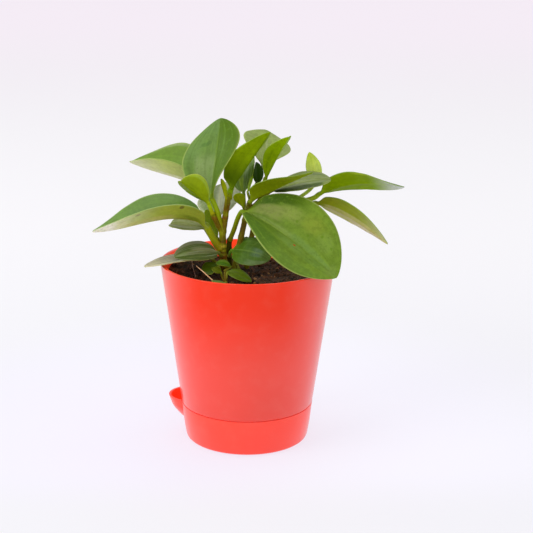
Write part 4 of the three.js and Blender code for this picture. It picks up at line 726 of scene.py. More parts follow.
    'sprout_leaf_top': look(top=(0.0645, 0.1582, 0.0020, 1), under=(0.2400, 0.3100, 0.0250, 1), tip=(0.3000, 0.3600, 0.0500, 1), pet=(0.2000, 0.2500, 0.0120, 1), spec=0.2, bands=[(-1.3, -0.4, -0.1, 1.1, 0.1, (0.1416, 0.2187, 0.0198, 1), 0.6)], edge=(0.2454, 0.3275, 0.0291, 1), ribmix=0.3, veinmix=0.12, streak=0.3),
    'sprout_leaf_right': look(top=(0.0784, 0.1330, 0.0015, 1), under=(0.2400, 0.3100, 0.0250, 1), tip=(0.3000, 0.3600, 0.0500, 1), pet=(0.2000, 0.2500, 0.0120, 1), spec=0.2, edge=(0.2403, 0.3208, 0.0285, 1), ribmix=0.3, veinmix=0.12, streak=0.3, bands=[]),
    'sprout_leaf_left': look(top=(0.1130, 0.1517, 0.0015, 1), under=(0.2400, 0.3100, 0.0250, 1), tip=(0.3000, 0.3600, 0.0500, 1), pet=(0.2000, 0.2500, 0.0120, 1), spec=0.2, edge=(0.3090, 0.4124, 0.0366, 1), ribmix=0.3, veinmix=0.12, streak=0.3),
    'sprout_leaf_back': look(top=(0.0676, 0.1342, 0.0015, 1), under=(0.2400, 0.3100, 0.0250, 1), tip=(0.3000, 0.3600, 0.0500, 1), pet=(0.2000, 0.2500, 0.0120, 1), spec=0.2, edge=(0.5467, 0.7297, 0.0647, 1), ribmix=0.3, veinmix=0.12, streak=0.3),
    'sprout_leaf_front': look(top=(0.1300, 0.2200, 0.0450, 1), under=(0.2400, 0.3100, 0.0250, 1), tip=(0.3000, 0.3600, 0.0500, 1), pet=(0.2000, 0.2500, 0.0120, 1), spec=0.2, edge=(0.4277, 0.5709, 0.0506, 1), ribmix=0.3, veinmix=0.12, streak=0.3),
    'leaf_centre_back': look(top=(0.1775, 0.2938, 0.0448, 1), under=(0.2400, 0.3100, 0.0250, 1), tip=(0.3000, 0.3600, 0.0500, 1), pet=(0.2000, 0.2500, 0.0120, 1), spec=0.12, bands=[(0.55, 1.3, -0.2, 0.5, 0.1, (0.1313, 0.2434, 0.0031, 1), 0.85), (-0.62, -0.18, -0.1, 0.36, 0.08, (0.0924, 0.1775, 0.0015, 1), 0.85), (-0.08, 0.38, 0.02, 0.34, 0.06, (0.3795, 0.5415, 0.0355, 1), 0.75), (-0.6, -0.1, 0.42, 0.85, 0.06, (0.2316, 0.3496, 0.0924, 1), 0.6)], streak=0.45, streakn=6, sheen=(0.3951, 0.5509, 0.2434, 1)),
    'leaf_young_centre': look(top=(0.1300, 0.2200, 0.0450, 1), under=(0.1659, 0.2118, 0.0020, 1), tip=(0.1996, 0.2574, 0.0020, 1), pet=(0.2000, 0.2500, 0.0120, 1), uspec=0.03, spec=0.28),
    'leaf_bud_left': look(top=(0.1300, 0.2200, 0.0450, 1), under=(0.2817, 0.3331, 0.0020, 1), tip=(0.2484, 0.3047, 0.0020, 1), pet=(0.1990, 0.1821, 0.0064, 1), uspec=0.03, spec=0.28),
    'leaf_back_wide': look(top=(0.3854, 0.4206, 0.2713, 1), under=(0.2400, 0.3100, 0.0250, 1), tip=(0.3000, 0.3600, 0.0500, 1), pet=(0.2000, 0.2500, 0.0120, 1), spec=0.2, bands=[(0.1, 1.3, -0.2, 1.1, 0.1, (0.1198, 0.1869, 0.0271, 1), 0.85)], streak=0.5, streakn=6, sheen=(0.5508, 0.5793, 0.4450, 1)),
    'leaf_small_shaded': look(top=(0.2067, 0.3170, 0.0015, 1), under=(0.2400, 0.3100, 0.0250, 1), tip=(0.3000, 0.3600, 0.0500, 1), pet=(0.2000, 0.2500, 0.0120, 1), spec=0.02, edge=(0.2200, 0.3000, 0.0100, 1), sss=0.02),
    'leaf_bud_right': look(top=(0.3008, 0.4522, 0.0319, 1), under=(0.2400, 0.3100, 0.0250, 1), tip=(0.3000, 0.3600, 0.0500, 1), pet=(0.2000, 0.2500, 0.0120, 1), uspec=0.03, spec=0.2),
    'leaf_bud_low': look(top=(0.1300, 0.2200, 0.0450, 1), under=(0.2400, 0.3100, 0.0250, 1), tip=(0.3000, 0.3600, 0.0500, 1), pet=(0.2000, 0.2500, 0.0120, 1), uspec=0.08, spec=0.2),
}

for i, leaf in enumerate(LEAVES):
    leaf["look"] = LOOKS[leaf["name"]]
    ob = build_leaf(leaf, i)
    ob.data.materials.append(leaf_material(leaf, i))
    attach(ob, "root")
    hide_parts(leaf["name"])


# ---------------------------------------------------------------- stems
def sweep_tube(points, radii, steps, sides, seed=0.0, lumps=0.0, nodes=(), close_tip=True):
    P = catmull(points, steps)
    verts, faces, data = [], [], []
    seg = np.concatenate([[0], np.cumsum(np.linalg.norm(np.diff(P, axis=0), axis=1))])
    side = np.array([1.0, 0.0, 0.0])
    for i in range(steps + 1):
        t = unit(P[min(i + 1, steps)] - P[max(i - 1, 0)])
        side = unit(side - t * (side @ t))
        up = np.cross(t, side)
        f = i / steps * (len(radii) - 1)
        i0 = min(int(f), len(radii) - 2)
        r = radii[i0] + (radii[i0 + 1] - radii[i0]) * (f - i0)
        for (z, gain, width) in nodes:
            r *= 1 + gain * math.exp(-((P[i][2] - z) / width) ** 2)
        if close_tip and i > steps - 4:
            r *= [0.97, 0.9, 0.75, 0.45][i - (steps - 3)]
        for j in range(sides):
            a = 2 * math.pi * j / sides
            d = side * math.cos(a) + up * math.sin(a)
            q = P[i] + d * r
            rr = r * (1 + lumps * fbm(q[0], q[1], q[2], 0.55, 3, seed))
            verts.append(P[i] + d * rr)
            data.append((seg[i], a))
    for i in range(steps):
        for j in range(sides):
            k = (j + 1) % sides
            faces.append((i * sides + j, i * sides + k, (i + 1) * sides + k, (i + 1) * sides + j))
    a = len(verts)
    verts.append(P[0]); verts.append(P[-1] + unit(P[-1] - P[-2]) * 0.15 * radii[-1])
    data += [(0, 0), (seg[-1], 0)]
    last = steps * sides
    for j in range(sides):
        k = (j + 1) % sides
        faces.append((a, k, j)); faces.append((a + 1, last + j, last + k))
    return verts, faces, data


def stem_material(name, base, light, brown, dark, bands, side_light_tint=None):
    m = Nodes(name)
    obj = m.coords()
    sep = m.new("ShaderNodeSeparateXYZ")
    m.link(obj, sep.inputs[0])
    z = sep.outputs[2]
    # fine streaks run along the stem
    mp = m.new("ShaderNodeMapping")
    mp.inputs["Scale"].default_value = (1.0, 1.0, 0.14)
    m.link(obj, mp.inputs[0])
    st = m.noise(mp.outputs[0], 1500.0, 3.0, 0.6)
    mid = m.noise(obj, 260.0, 4.0, 0.6)
    big = m.noise(obj, 90.0, 3.0, 0.5)
    col = m.mix(m.smooth(st, 0.38, 0.66), base, light)
    col = m.mix(m.math("MULTIPLY", m.smooth(big, 0.45, 0.7), 0.55), col, brown)
    for (zc, hw, tint, amt) in bands:
        d = m.math("ABSOLUTE", m.math("SUBTRACT", z, zc * MM))
        d = m.math("ADD", d, m.math("MULTIPLY", m.math("SUBTRACT", mid, 0.5), hw * MM * 1.1))
        col = m.mix(m.math("MULTIPLY", m.smooth(d, hw * MM, hw * MM * 0.35), amt), col, tint)
    # painted light and shade: the side of the stem that faces +x takes the side colour
    if side_light_tint:
        nrm = m.new("ShaderNodeNewGeometry")
        s2 = m.new("ShaderNodeSeparateXYZ")
        m.link(nrm.outputs["Normal"], s2.inputs[0])
        col = m.mix(m.math("MULTIPLY", m.smooth(s2.outputs[0], -0.2, 0.9), side_light_tint[1]), col, side_light_tint[0])
    sp = m.voronoi(obj, 900.0)
    col = m.mix(m.math("MULTIPLY", m.smooth(sp, 0.24, 0.08), 0.55), col, dark)
    sp2 = m.voronoi(obj, 640.0)
    col = m.mix(m.math("MULTIPLY", m.smooth(sp2, 0.18, 0.06), 0.45), col, light)
    h = m.math("ADD", m.math("MULTIPLY", st, 0.6), mid)
    m.shader(col, m.math("ADD", m.math("MULTIPLY", mid, 0.25), 0.34), m.bump(h, 0.35, 0.0003), Specular_IOR_Level=0.10,
             Subsurface_Weight=0.08, Subsurface_Radius=(0.0012, 0.0012, 0.0005), Subsurface_Scale=1.0)
    return m.mat


RED = lin(112, 52, 10)
REDB = lin(138, 74, 14)
OLIVE = lin(116, 113, 2)
LIME = lin(150, 154, 18)
BROWN = lin(96, 66, 10)
DARK = lin(50, 40, 8)
STEM_NODES = {
    "main_stem": dict(parts=["main", "mainLeft", "mainRight"], nodes=[(109.5, 0.10, 1.2), (116.0, 0.10, 1.0), (122.5, 0.13, 1.1), (131.0, 0.16, 1.6), (141.0, 0.14, 1.6), (150.0, 0.12, 1.2)],
        mat=stem_material("mat_main_stem", OLIVE, LIME, BROWN, DARK,
            [(122.6, 1.1, lin(190, 178, 50), 0.9), (120.9, 0.7, DARK, 0.7), (115.6, 1.8, RED, 0.9), (118.6, 1.0, BROWN, 0.8), (125.2, 0.9, BROWN, 0.7), (108.0, 2.5, BROWN, 0.7), (126.0, 0.8, DARK, 0.5), (136.5, 4.0, lin(104, 60, 14), 0.55), (141.0, 2.0, lin(112, 46, 14), 0.65), (147.6, 3.6, lin(104, 60, 16), 0.75), (150.6, 0.8, DARK, 0.4)], (lin(132, 134, 30), 0.25))),
    "rear_stem": dict(parts=["rear"], nodes=[(112.0, 0.10, 1.2), (120.0, 0.14, 1.2), (126.0, 0.14, 1.4)],
        mat=stem_material("mat_rear_stem", lin(62, 62, 8), lin(84, 88, 10), lin(58, 44, 12), DARK, [(126.0, 2.0, BROWN, 0.7)])),
    "centre_stem": dict(parts=["centre"], nodes=[(108.0, 0.10, 1.0), (118.0, 0.12, 1.2), (128.0, 0.13, 1.2), (139.0, 0.14, 1.2), (146.5, 0.14, 1.5)],
        mat=stem_material("mat_centre_stem", lin(104, 98, 12), lin(124, 124, 20), lin(110, 80, 18), DARK, [(134.0, 5.0, lin(116, 84, 32), 0.5), (147.0, 3.0, lin(110, 120, 24), 0.6)], (lin(96, 104, 24), 0.6))),
    "right_stem": dict(parts=["right"], nodes=[(110.0, 0.10, 1.2), (126.0, 0.12, 1.2), (140.0, 0.12, 1.2)],
        mat=stem_material("mat_right_stem", lin(104, 102, 4), lin(122, 124, 12), lin(96, 78, 12), DARK, [(150.0, 3.0, lin(128, 138, 40), 0.7)])),
    "sprout_stem_right": dict(parts=["sproutRight"], nodes=[(108.0, 0.12, 0.8)], mat=stem_material("mat_sprout_right", lin(112, 108, 26), lin(140, 138, 40), BROWN, DARK, [])),
    "sprout_stem_left": dict(parts=["sproutLeft"], nodes=[(108.5, 0.12, 0.8)], mat=stem_material("mat_sprout_left", lin(116, 124, 30), lin(150, 156, 48), BROWN, DARK, [])),
    "stalk_low": dict(parts=["stalk"], nodes=[(109.0, 0.12, 0.8)], mat=stem_material("mat_stalk", lin(110, 122, 34), lin(150, 156, 60), BROWN, DARK, [])),
}
for si, (name, spec) in enumerate(STEM_NODES.items()):
    verts, faces = [], []
    for pi, key in enumerate(spec["parts"]):
        s = STEMS[key]
        vv, ff, dd = sweep_tube(s["points"], s["radii"], 90 if len(s["points"]) > 5 else 50, 22, 5.0 * si + pi, 0.06, spec["nodes"])
        o = len(verts)
        verts += vv
        faces += [tuple(a + o for a in f) for f in ff]
        if len(spec["parts"]) > 1 and pi == 0:
            pass
    if len(spec["parts"]) == 1:
        ob = new_object(name + "_skin", np.array(verts) * MM, faces)
    else:
        objs = []
        o = 0
        for pi, key in enumerate(spec["parts"]):
            s = STEMS[key]
            vv, ff, dd = sweep_tube(s["points"], s["radii"], 90 if len(s["points"]) > 5 else 50, 22, 5.0 * si + pi, 0.06, spec["nodes"])
            objs.append(new_object(name + "_part%d" % pi, np.array(vv) * MM, ff))
        ob = objs[0]
        ob.name = name + "_skin"
        for other in objs[1:]:
            boolean(ob, other, "UNION")
        # one smooth skin over the forks
        rm = ob.modifiers.new("skin", "REMESH"); rm.mode = "VOXEL"; rm.voxel_size = 0.00032; rm.use_smooth_shade = True
        sm = ob.modifiers.new("soft", "SMOOTH"); sm.iterations = 4; sm.factor = 0.5
        dg = bpy.context.evaluated_depsgraph_get(); dg.update()
        me = bpy.data.meshes.new_from_object(ob.evaluated_get(dg))
        ob.modifiers.clear(); ob.data = me
        me.polygons.foreach_set("use_smooth", [True] * len(me.polygons))
    ob.data.materials.clear()
    ob.data.materials.append(spec["mat"])
    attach(ob, "root")
    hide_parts(name)


# ---------------------------------------------------------------- pot and saucer
RIM_R, RIM_Z, SHOULDER_R, SHOULDER_Z, NECK_R, FLOOR_Z, WALL = 55.0, 116.0, 42.15, 23.95, 39.2, 11.2, 1.8
WICK_R, WICK_Z = 12.0, 2.4
pot_profile = [
    (0, WICK_Z), (WICK_R - 0.8, WICK_Z), (WICK_R, FLOOR_Z), (36.4, FLOOR_Z), (37.3, FLOOR_Z + 0.9),
    (NECK_R, SHOULDER_Z), (SHOULDER_R, SHOULDER_Z), (RIM_R - 0.02, RIM_Z - 0.3), (RIM_R - 0.35, RIM_Z), (RIM_R - WALL + 0.1, RIM_Z),
    (SHOULDER_R - WALL + 0.25, SHOULDER_Z + 2.2), (NECK_R - WALL, SHOULDER_Z + 0.6), (37.3 - WALL - 0.1, FLOOR_Z + WALL + 0.6),
    (34.6, FLOOR_Z + WALL), (WICK_R + 0.4, FLOOR_Z + WALL), (WICK_R - WALL + 0.1, FLOOR_Z + WALL - 0.6),
    (WICK_R - WALL - 0.7, WICK_Z + WALL), (0, WICK_Z + WALL)]
pot_r = [0, 0.5, 0.5, 0.4, 0.5, 0.3, 0.35, 0.15, 0.2, 0.45, 0.8, 0.6, 0.8, 0.5, 0.5, 0.4, 0.5, 0]
v, f = lathe(rounded(pot_profile, pot_r, 4), 224)
pot = new_object("planter_pot_skin", v, f)
cutters_v, cutters_f = [], []
def add_block(vv, ff):
    o = len(cutters_v)
    cutters_v.extend(vv)
    cutters_f.extend([tuple(a + o for a in q) for q in ff])
for i in range(8):
    a = (i + 0.5) * math.pi / 4
    add_block(*lathe([(0, FLOOR_Z - 2), (2, FLOOR_Z - 2), (2, FLOOR_Z + 5), (0, FLOOR_Z + 5)], 32, 25 * math.cos(a), 25 * math.sin(a)))
for i in range(4):
    a = i * math.pi / 2
    ca, sa = math.cos(a), math.sin(a)
    vv = []
    for dx in (-4, 4):
        for dy in (-1.2, 1.2):
            for dz in (-2.5, 2.5):
                x, y = WICK_R + dx, dy
                vv.append(((x * ca - y * sa) * MM, (x * sa + y * ca) * MM, (WICK_Z + 5 + dz) * MM))
    ff = [(0, 1, 3, 2), (4, 6, 7, 5), (0, 4, 5, 1), (2, 3, 7, 6), (0, 2, 6, 4), (1, 5, 7, 3)]
    add_block(vv, ff)
boolean(pot, new_object("holes", cutters_v, cutters_f, smooth=False), "DIFFERENCE")
mark_sharp(pot, 40)

SPOUT_AZ, SPOUT_D, SPOUT_WALL = math.radians(167.5), 37.5, 1.4
SRZ, SRR, SW = 23.64, 42.2, 1.5
sx, sy = SPOUT_D * math.cos(SPOUT_AZ), SPOUT_D * math.sin(SPOUT_AZ)
so = rounded([(0, 0), (37.1, 0), (38.9, 0.8), (39.4, 2.4), (40.5, 8.6), (SRR, SRZ), (0, SRZ)], [0, 0.6, 0.7, 0.8, 3, 0, 0], 5)
si_ = [(0, 1.7), (36.8, 1.7), (37.7, 2.6), (40.5 - SW, 8.8), (SRR - SW - 0.02, SRZ), (SRR - SW + 0.1, SRZ + 1), (0, SRZ + 1)]
po = rounded([(0, 6.2), (3.9, 7.6), (6.0, 9.4), (8.0, 11.6), (10.8, 15.1), (12.2, 17.4), (13.1, 19.9), (14.3, SRZ), (0, SRZ)], [0, 1.5, 1.2, 1.2, 1.5, 1.2, 1.5, 0, 0], 5)
pi_ = rounded([(0, 8.0), (3.1, 9.1), (4.9, 10.7), (6.8, 12.8), (9.4, 16.0), (10.8, 18.2), (11.7, 20.4), (14.3 - SPOUT_WALL, SRZ), (14.3 - SPOUT_WALL + 0.3, SRZ + 1), (0, SRZ + 1)], [0, 1.2, 1.0, 1.2, 1.5, 1.2, 1.5, 0, 0, 0], 5)
saucer = new_object("reservoir_saucer_skin", *lathe(so, 224))
boolean(saucer, new_object("t1", *lathe(po, 128, sx, sy)), "UNION")
boolean(saucer, new_object("t2", *lathe(si_, 224)), "DIFFERENCE")
boolean(saucer, new_object("t3", *lathe(pi_, 128, sx, sy)), "DIFFERENCE")
bev = saucer.modifiers.new("edge", "BEVEL")
bev.width = 0.00022; bev.segments = 2; bev.limit_method = "ANGLE"; bev.angle_limit = math.radians(50)
dg = bpy.context.evaluated_depsgraph_get(); dg.update()
me = bpy.data.meshes.new_from_object(saucer.evaluated_get(dg))
saucer.modifiers.clear(); saucer.data = me
mark_sharp(saucer, 35)


def plastic(name, base, deep, upper_shade, hollow):
    m = Nodes(name)
    obj = m.coords()
    sep = m.new("ShaderNodeSeparateXYZ")
    m.link(obj, sep.inputs[0])
    big = m.noise(obj, 14.0, 2.0, 0.5)
    mid = m.noise(obj, 110.0, 3.0, 0.5)
    col = m.mix(m.smooth(big, 0.3, 0.7), base, deep)
    # painted shade: the upper wall takes a darker, more orange colour, standing in for its weaker reflection
    col = m.mix(m.smooth(sep.outputs[2], 0.070, 0.112), col, upper_shade)
    # faint dust and dried water in scattered patches
    dust = m.math("MULTIPLY", m.smooth(mid, 0.45, 0.80), 0.025)
    col = m.mix(dust, col, lin(236, 190, 170))
    # painted light: the hollow side of the thin wall gets a brighter red colour and a red emission glow, standing in
    # for the light that comes through it
    px, py, pz = sep.outputs[0], sep.outputs[1], sep.outputs[2]
    def reach(cx, cy):
        dx, dy = m.math("SUBTRACT", px, cx * MM), m.math("SUBTRACT", py, cy * MM)
        return m.math("SQRT", m.math("ADD", m.math("MULTIPLY", dx, dx), m.math("MULTIPLY", dy, dy)))
    if hollow == "rim":
        limit = m.math("MULTIPLY_ADD", pz, (RIM_R - SHOULDER_R) / (RIM_Z - SHOULDER_Z), c=(RIM_R - 0.9 - RIM_Z * (RIM_R - SHOULDER_R) / (RIM_Z - SHOULDER_Z)) * MM)
        inside = m.smooth(m.math("SUBTRACT", reach(0, 0), limit), 0.0003, -0.0003)
        inside = m.math("MULTIPLY", inside, m.smooth(pz, 0.085, 0.100))
    else:
        limit = m.math("MULTIPLY_ADD", pz, 0.445, c=(10.05 - 16 * 0.445) * MM)
        inside = m.smooth(m.math("SUBTRACT", reach(sx, sy), limit), 0.0003, -0.0003)
        inside = m.math("MULTIPLY", inside, m.smooth(pz, 0.008, 0.012))
    col = m.mix(inside, col, (1.0, 0.075, 0.022, 1))
    # painted light and shade in the seam where the pot sits on the saucer rim: a deeper red colour and a faint red glow
    # for the shaded gap
    seam_shade_glow = m.smooth(m.math("ABSOLUTE", m.math("SUBTRACT", pz, 0.5 * (SRZ + SHOULDER_Z) * MM)), 0.0008, 0.0004)
    col = m.mix(m.math("MULTIPLY", seam_shade_glow, 0.8), col, (0.86, 0.030, 0.012, 1))
    # very fine rings left by the mould's turning
    ring = m.math("MULTIPLY_ADD", m.math("SINE", m.math("MULTIPLY", sep.outputs[2], 2 * math.pi / 0.0011)), 0.5, c=0.5)
    h = m.math("ADD", m.math("MULTIPLY", mid, 0.8), m.math("MULTIPLY", ring, 0.04))
    glow = m.math("MULTIPLY", inside, 0.22)
    if hollow == "rim":
        # the painted glow is stronger on the far wall, which has the light behind it
        glow = m.math("MULTIPLY", glow, m.smooth(py, 0.012, 0.046, 1.0, 3.3))
    rough = m.math("ADD", m.math("MULTIPLY", mid, 0.02), 0.284)
    nrm = m.bump(h, 0.04, 0.0002)
    # the upper wall is the duller part
    low_ = m.shader(col, rough, nrm, Specular_IOR_Level=0.6, Coat_Weight=0.45, Coat_Roughness=0.16)
    high_ = m.shader(col, m.math("ADD", rough, 0.06), nrm, Specular_IOR_Level=0.10, Coat_Weight=0.08, Coat_Roughness=0.25)
    # painted glow: red emission on the hollow side and in the seam
    for q in (low_, high_):
        q.inputs["Emission Color"].default_value = (1.0, 0.050, 0.014, 1)
        m.put(q.inputs["Emission Strength"], m.math("ADD", glow, m.math("MULTIPLY", seam_shade_glow, 0.22 * 0.4)))
    ms = m.new("ShaderNodeMixShader")
    front = m.math("MULTIPLY", m.smooth(sep.outputs[2], 0.050, 0.105), m.smooth(m.math("ABSOLUTE", m.math("ADD", px, 0.004)), 0.046, 0.022))
    m.put(ms.inputs[0], m.math("MULTIPLY", front, 0.85))
    m.link(low_.outputs[0], ms.inputs[1])
    m.link(high_.outputs[0], ms.inputs[2])
    m.link(ms.outputs[0], m.out.inputs[0])
    return m.mat


pot.data.materials.clear(); pot.data.materials.append(plastic("mat_pot", (0.83, 0.034, 0.010, 1), (0.78, 0.028, 0.005, 1), (0.79, 0.028, 0.003, 1), "rim"))
saucer.data.materials.clear(); saucer.data.materials.append(plastic("mat_saucer", (0.98, 0.036, 0.004, 1), (0.97, 0.030, 0.003, 1), (0.98, 0.036, 0.004, 1), "spout"))
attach(pot, "root"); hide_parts("planter_pot")
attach(saucer, "root"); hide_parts("reservoir_saucer")


# ---------------------------------------------------------------- soil
def soil_height(x, y):
    return (105.2 + 1.5 * math.exp(-((x + 10) ** 2 + (y - 8) ** 2) / 392)
            + 0.6 * math.sin(0.21 * x + 1.3) * math.cos(0.17 * y - 0.4)
            + 0.4 * math.sin(0.43 * x - 0.37 * y + 2.1) + 0.25 * math.sin(0.13 * x + 0.51 * y)
            - 2.2 * math.exp(-((x + 17) ** 2 + (y + 20) ** 2) / 90)
            + 5.0 * math.exp(-((x + 44) ** 2 + (y - 26) ** 2) / 420))


def inner_at(z):
    z0, r0, r1 = SHOULDER_Z + 2.2, SHOULDER_R - WALL + 0.25, RIM_R - WALL
    return r0 + (r1 - r0) * (z - z0) / (RIM_Z - z0)


def soil_rough(x, y):
    a = fbm(x, y, 0.0, 0.16, 3, 1.7)
    b = fbm(x, y, 3.0, 0.62, 4, 4.2)
    c = noise.voronoi(Vector((x * 0.42, y * 0.42, 0.5)))[0]
    return 0.55 * a + 0.60 * b + 0.75 * (0.45 - c[0]) + 0.35 * (c[1] - c[0])


edge_r = inner_at(105.2) - 0.25
verts, faces = [], []
NA, NR = 240, 96
def ring_at(r, zf, n=NA):
    o = len(verts)
    for j in range(n):
        a = 2 * math.pi * j / n
        x, y = r * math.cos(a), r * math.sin(a)
        verts.append((x * MM, y * MM, (zf(x, y) if callable(zf) else zf) * MM))
    return o
low = [(WICK_R - WALL - 1.0, WICK_Z + WALL + 0.3), (WICK_R - WALL - 0.35, FLOOR_Z + WALL + 0.5), (34.2, FLOOR_Z + WALL + 0.4),
       (NECK_R - WALL - 0.45, SHOULDER_Z + 0.6), (inner_at(SHOULDER_Z + 2.2) - 0.4, SHOULDER_Z + 2.4), (inner_at(60) - 0.3, 60), (inner_at(98) - 0.28, 98)]
rings = [ring_at(r, z) for r, z in low]
top_z = lambda x, y: soil_height(x, y) + soil_rough(x, y) - 0.7 * max(0.0, 1 - (edge_r - math.hypot(x, y)) / 3.0)
rings.append(ring_at(edge_r, top_z))
for i in range(1, NR):
    r = edge_r * (1 - (i / NR)) ** 1.0
    rings.append(ring_at(r, top_z))
for a, b in zip(rings, rings[1:]):
    for j in range(NA):
        k = (j + 1) % NA
        faces.append((a + j, a + k, b + k, b + j))
c0 = len(verts); verts.append((0, 0, (WICK_Z + WALL + 0.3) * MM))
c1 = len(verts); verts.append((0, 0, top_z(0, 0) * MM))
for j in range(NA):
    k = (j + 1) % NA
    faces.append((c0, rings[0] + k, rings[0] + j)); faces.append((c1, rings[-1] + j, rings[-1] + k))


def crumb(cx, cy, cz, size, stretch, turn, sub=1, seed=0.0):
    """One irregular crumb of compost as a closed lump."""
    bm = bmesh.new()
    bmesh.ops.create_icosphere(bm, subdivisions=sub, radius=1.0)
    R = Matrix.Rotation(turn[0], 3, "Z") @ Matrix.Rotation(turn[1], 3, "X")
    out = []
    for vtx in bm.verts:
        p = vtx.co.copy()
        p *= 1 + 0.35 * noise.noise(p * 1.3 + Vector((seed, 0, 0)))
        p = Vector((p.x * stretch[0], p.y * stretch[1], p.z * stretch[2])) * size
        p = R @ p
        out.append(((cx + p.x) * MM, (cy + p.y) * MM, (cz + p.z) * MM))
    fs = [tuple(x.index for x in q.verts) for q in bm.faces]
    bm.free()
    return out, fs

soil_main = len(faces)
crumb_col = []
n_main = len(verts)
for i in range(620):
    rad = (edge_r - 1.6) * math.sqrt(rng.random())
    ang = rng.random() * 2 * math.pi
    x, y = rad * math.cos(ang), rad * math.sin(ang)
    size = 0.45 + 1.25 * rng.random() ** 2.2
    if i % 5 == 0:
        st = (1.0, 0.35, 0.3)
    else:
        st = (1.0, 0.6 + 0.4 * rng.random(), 0.5 + 0.4 * rng.random())
    if rad + size > edge_r - 0.6:
        continue
    vv, ff = crumb(x, y, top_z(x, y) + 0.25 * size, size, st, (rng.random() * 6.28, (rng.random() - 0.5) * 1.2), 2, rng.random() * 50)
    o = len(verts)
    verts += vv
    faces += [tuple(a + o for a in q) for q in ff]
    tone = rng.random()
    crumb_col += [(tone, 1.0, 0.0, 1.0)] * len(vv)
cols = np.concatenate([np.tile([0.5, 0.0, 0.0, 1.0], (n_main, 1)), np.array(crumb_col)])
soil = new_object("potting_soil_skin", verts, faces, colors={"face": cols})


def soil_material():
    m = Nodes("mat_soil")
    obj = m.coords()
    sep = m.new("ShaderNodeSeparateColor")
    m.link(m.attr("face"), sep.inputs[0])
    tone, isc = sep.outputs[0], sep.outputs[1]
    a = m.noise(obj, 220.0, 5.0, 0.65)
    b = m.noise(obj, 800.0, 5.0, 0.7)
    c = m.noise(obj, 60.0, 3.0, 0.5)
    col = m.mix(m.smooth(a, 0.38, 0.62), lin(18, 10, 4), lin(80, 49, 26))
    col = m.mix(m.math("MULTIPLY", m.smooth(b, 0.54, 0.66), 0.75), col, lin(146, 100, 60))
    col = m.mix(m.math("MULTIPLY", m.smooth(c, 0.5, 0.75), 0.6), col, lin(20, 12, 6))
    # crumbs: bark brown to near black, a few pale fibres
    cc = m.mix(tone, lin(26, 16, 8), lin(96, 64, 34))
    cc = m.mix(m.smooth(tone, 0.86, 0.94), cc, lin(168, 124, 78))
    cc = m.mix(m.math("MULTIPLY", m.smooth(b, 0.4, 0.7), 0.4), cc, lin(40, 28, 16))
    col = m.mix(isc, col, cc)
    h = m.math("ADD", m.math("MULTIPLY", a, 1.0), m.math("MULTIPLY", b, 0.6))
    m.shader(col, 0.88, m.bump(h, 0.8, 0.0008), Specular_IOR_Level=0.25, Sheen_Weight=0.05, Sheen_Roughness=0.5)
    return m.mat


soil.data.materials.append(soil_material())
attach(soil, "root"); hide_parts("potting_soil")


# ---------------------------------------------------------------- bits on the soil
def bit_material(name, a_, b_, c_):
    m = Nodes(name)
    obj = m.coords()
    n1 = m.noise(obj, 500.0, 4.0, 0.6)
    n2 = m.noise(obj, 140.0, 3.0, 0.5)
    col = m.mix(m.smooth(n1, 0.35, 0.65), a_, b_)
    col = m.mix(m.math("MULTIPLY", m.smooth(n2, 0.5, 0.7), 0.6), col, c_)
    m.shader(col, 0.7, m.bump(n1, 0.5, 0.0002), Specular_IOR_Level=0.3)
    return m.mat

vv, ff, dd = sweep_tube([[-31.97, -12.4, 115.64], [-29.46, -13.6, 113.8], [-26.89, -14.8, 111.84], [-24.32, -16.0, 109.75], [-21.5, -17.0, 107.5], [-18.2, -18.2, 104.85]], [0.20, 0.27, 0.33, 0.34, 0.33, 0.30], 80, 14, 2.0, 0.18)
straw_ob = new_object("straw_bit_skin", np.array(vv) * MM, ff)
straw_ob.data.materials.append(bit_material("mat_straw", lin(232, 186, 130), lin(248, 214, 166), lin(200, 150, 100)))
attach(straw_ob, "root"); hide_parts("straw_bit")
vv, ff, dd = sweep_tube([[-35.8, 17, 111.0], [-35.4, 11, 109.95], [-34.6, 5.5, 108.85], [-34, 2, 108.25], [-32.5, -8.6, 107.2]], [0.2, 0.26, 0.26, 0.24, 0.18], 80, 10, 6.0, 0.2)
fibre_ob = new_object("fibre_bit_skin", np.array(vv) * MM, ff)
fibre_ob.data.materials.append(bit_material("mat_fibre", lin(150, 122, 104), lin(176, 150, 130), lin(112, 88, 74)))
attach(fibre_ob, "root"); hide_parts("fibre_bit")


# ---------------------------------------------------------------- floor, light, camera
bm = bmesh.new()
bmesh.ops.create_grid(bm, x_segments=8, y_segments=8, size=9.0)
me = bpy.data.meshes.new("floor"); bm.to_mesh(me); bm.free()
floor = bpy.data.objects.new("floor", me); scene.collection.objects.link(floor)
floor.location = (0, 0, -0.0003)
m = Nodes("mat_floor")
obj = m.coords()
sp = m.new("ShaderNodeSeparateXYZ")
m.link(obj, sp.inputs[0])
fx, fy = sp.outputs[0], sp.outputs[1]
fn = m.noise(obj, 2.0, 2.0, 0.5)
# painted light: the floor glows (emission), graded from left to right and from front to back
glow = m.mix(m.smooth(fx, -0.25, 0.35), (0.69, 0.69, 0.72, 1), (0.70, 0.695, 0.73, 1))
glow = m.mix(m.smooth(fy, 0.02, 0.60), glow, (0.745, 0.735, 0.755, 1))
glow = m.mix(m.smooth(fy, 0.7, 3.0), glow, (0.82, 0.75, 0.82, 1))
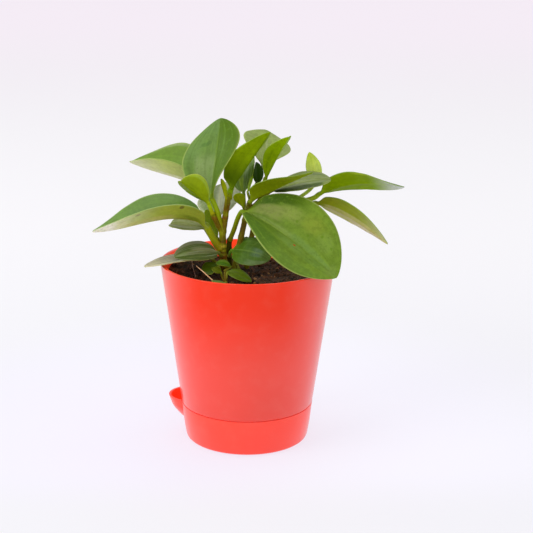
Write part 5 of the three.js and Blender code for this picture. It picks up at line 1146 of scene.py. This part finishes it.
# painted light: the floor glows a little brighter and cooler right beside the pot
fd = m.math("SQRT", m.math("ADD", m.math("MULTIPLY", fx, fx), m.math("MULTIPLY", fy, fy)))
beside = m.math("MULTIPLY", m.smooth(fd, 0.30, 0.10), m.smooth(fy, -0.13, -0.05))
glow = m.mix(beside, glow, m.mix(m.smooth(fx, -0.04, 0.06), (0.722, 0.703, 0.80, 1), (0.758, 0.746, 0.825, 1)))
fc = m.mix(fn, (0.205, 0.205, 0.215, 1), (0.20, 0.20, 0.21, 1))
p = m.shader(fc, 0.75, Specular_IOR_Level=0.1)
m.put(p.inputs["Emission Color"], glow)
p.inputs["Emission Strength"].default_value = 0.96
me.materials.append(m.mat)

world = bpy.data.worlds.new("studio")
scene.world = world
world.use_nodes = True
bg = world.node_tree.nodes["Background"]
bg.inputs[0].default_value = (1.0, 0.975, 1.0, 1)
bg.inputs[1].default_value = 0.5


def area(name, loc, target, size, power, color=(1, 1, 1), size_y=None):
    ld = bpy.data.lights.new(name, "AREA")
    ld.energy = power
    ld.color = color
    ld.shape = "RECTANGLE" if size_y else "SQUARE"
    ld.size = size
    if size_y:
        ld.size_y = size_y
    ob = bpy.data.objects.new(name, ld)
    ob.location = loc
    d = Vector(target) - Vector(loc)
    ob.rotation_euler = d.to_track_quat("-Z", "Y").to_euler()
    scene.collection.objects.link(ob)
    return ob

area("key_left", (-1.1, -0.7, 1.2), (0, 0, 0.12), 0.9, 14.0)
area("fill_right", (1.3, -0.5, 0.9), (0, 0, 0.12), 1.0, 2.5)
area("top", (-0.2, 0.4, 1.5), (0, 0, 0.1), 1.2, 7.0)
area("front_low", (0.2, -1.5, 0.30), (0, 0, 0.05), 0.9, 6.0)
area("side_left", (-1.4, 0.45, 0.40), (0, 0, 0.08), 1.2, 7.0, (1, 0.97, 1), 0.8)
area("side_right", (1.4, 0.55, 0.40), (0, 0, 0.08), 1.2, 4.5, (1, 0.97, 1), 0.8)

# camera solved from the photograph's pot and saucer edges
psi, phi, rho = 0.0145277, 0.2711541, 0.0096486
fwd = Vector((math.sin(psi) * math.cos(phi), math.cos(psi) * math.cos(phi), -math.sin(phi)))
right = Vector((math.cos(psi), -math.sin(psi), 0))
up = right.cross(fwd)
r2 = right * math.cos(rho) + up * math.sin(rho)
u2 = -right * math.sin(rho) + up * math.cos(rho)
cd = bpy.data.cameras.new("camera")
cd.sensor_width = 36.0
cd.sensor_fit = "HORIZONTAL"
cd.lens = 1336.556 * 36.0 / 533.0
cd.clip_start, cd.clip_end = 0.01, 60.0
cam = bpy.data.objects.new("camera", cd)
cam.matrix_world = Matrix(((r2.x, u2.x, -fwd.x, 0.0), (r2.y, u2.y, -fwd.y, -0.810979), (r2.z, u2.z, -fwd.z, 0.337476), (0, 0, 0, 1)))
scene.collection.objects.link(cam)
scene.camera = cam
scene.view_settings.view_transform = "Standard"
scene.view_settings.look = "None"

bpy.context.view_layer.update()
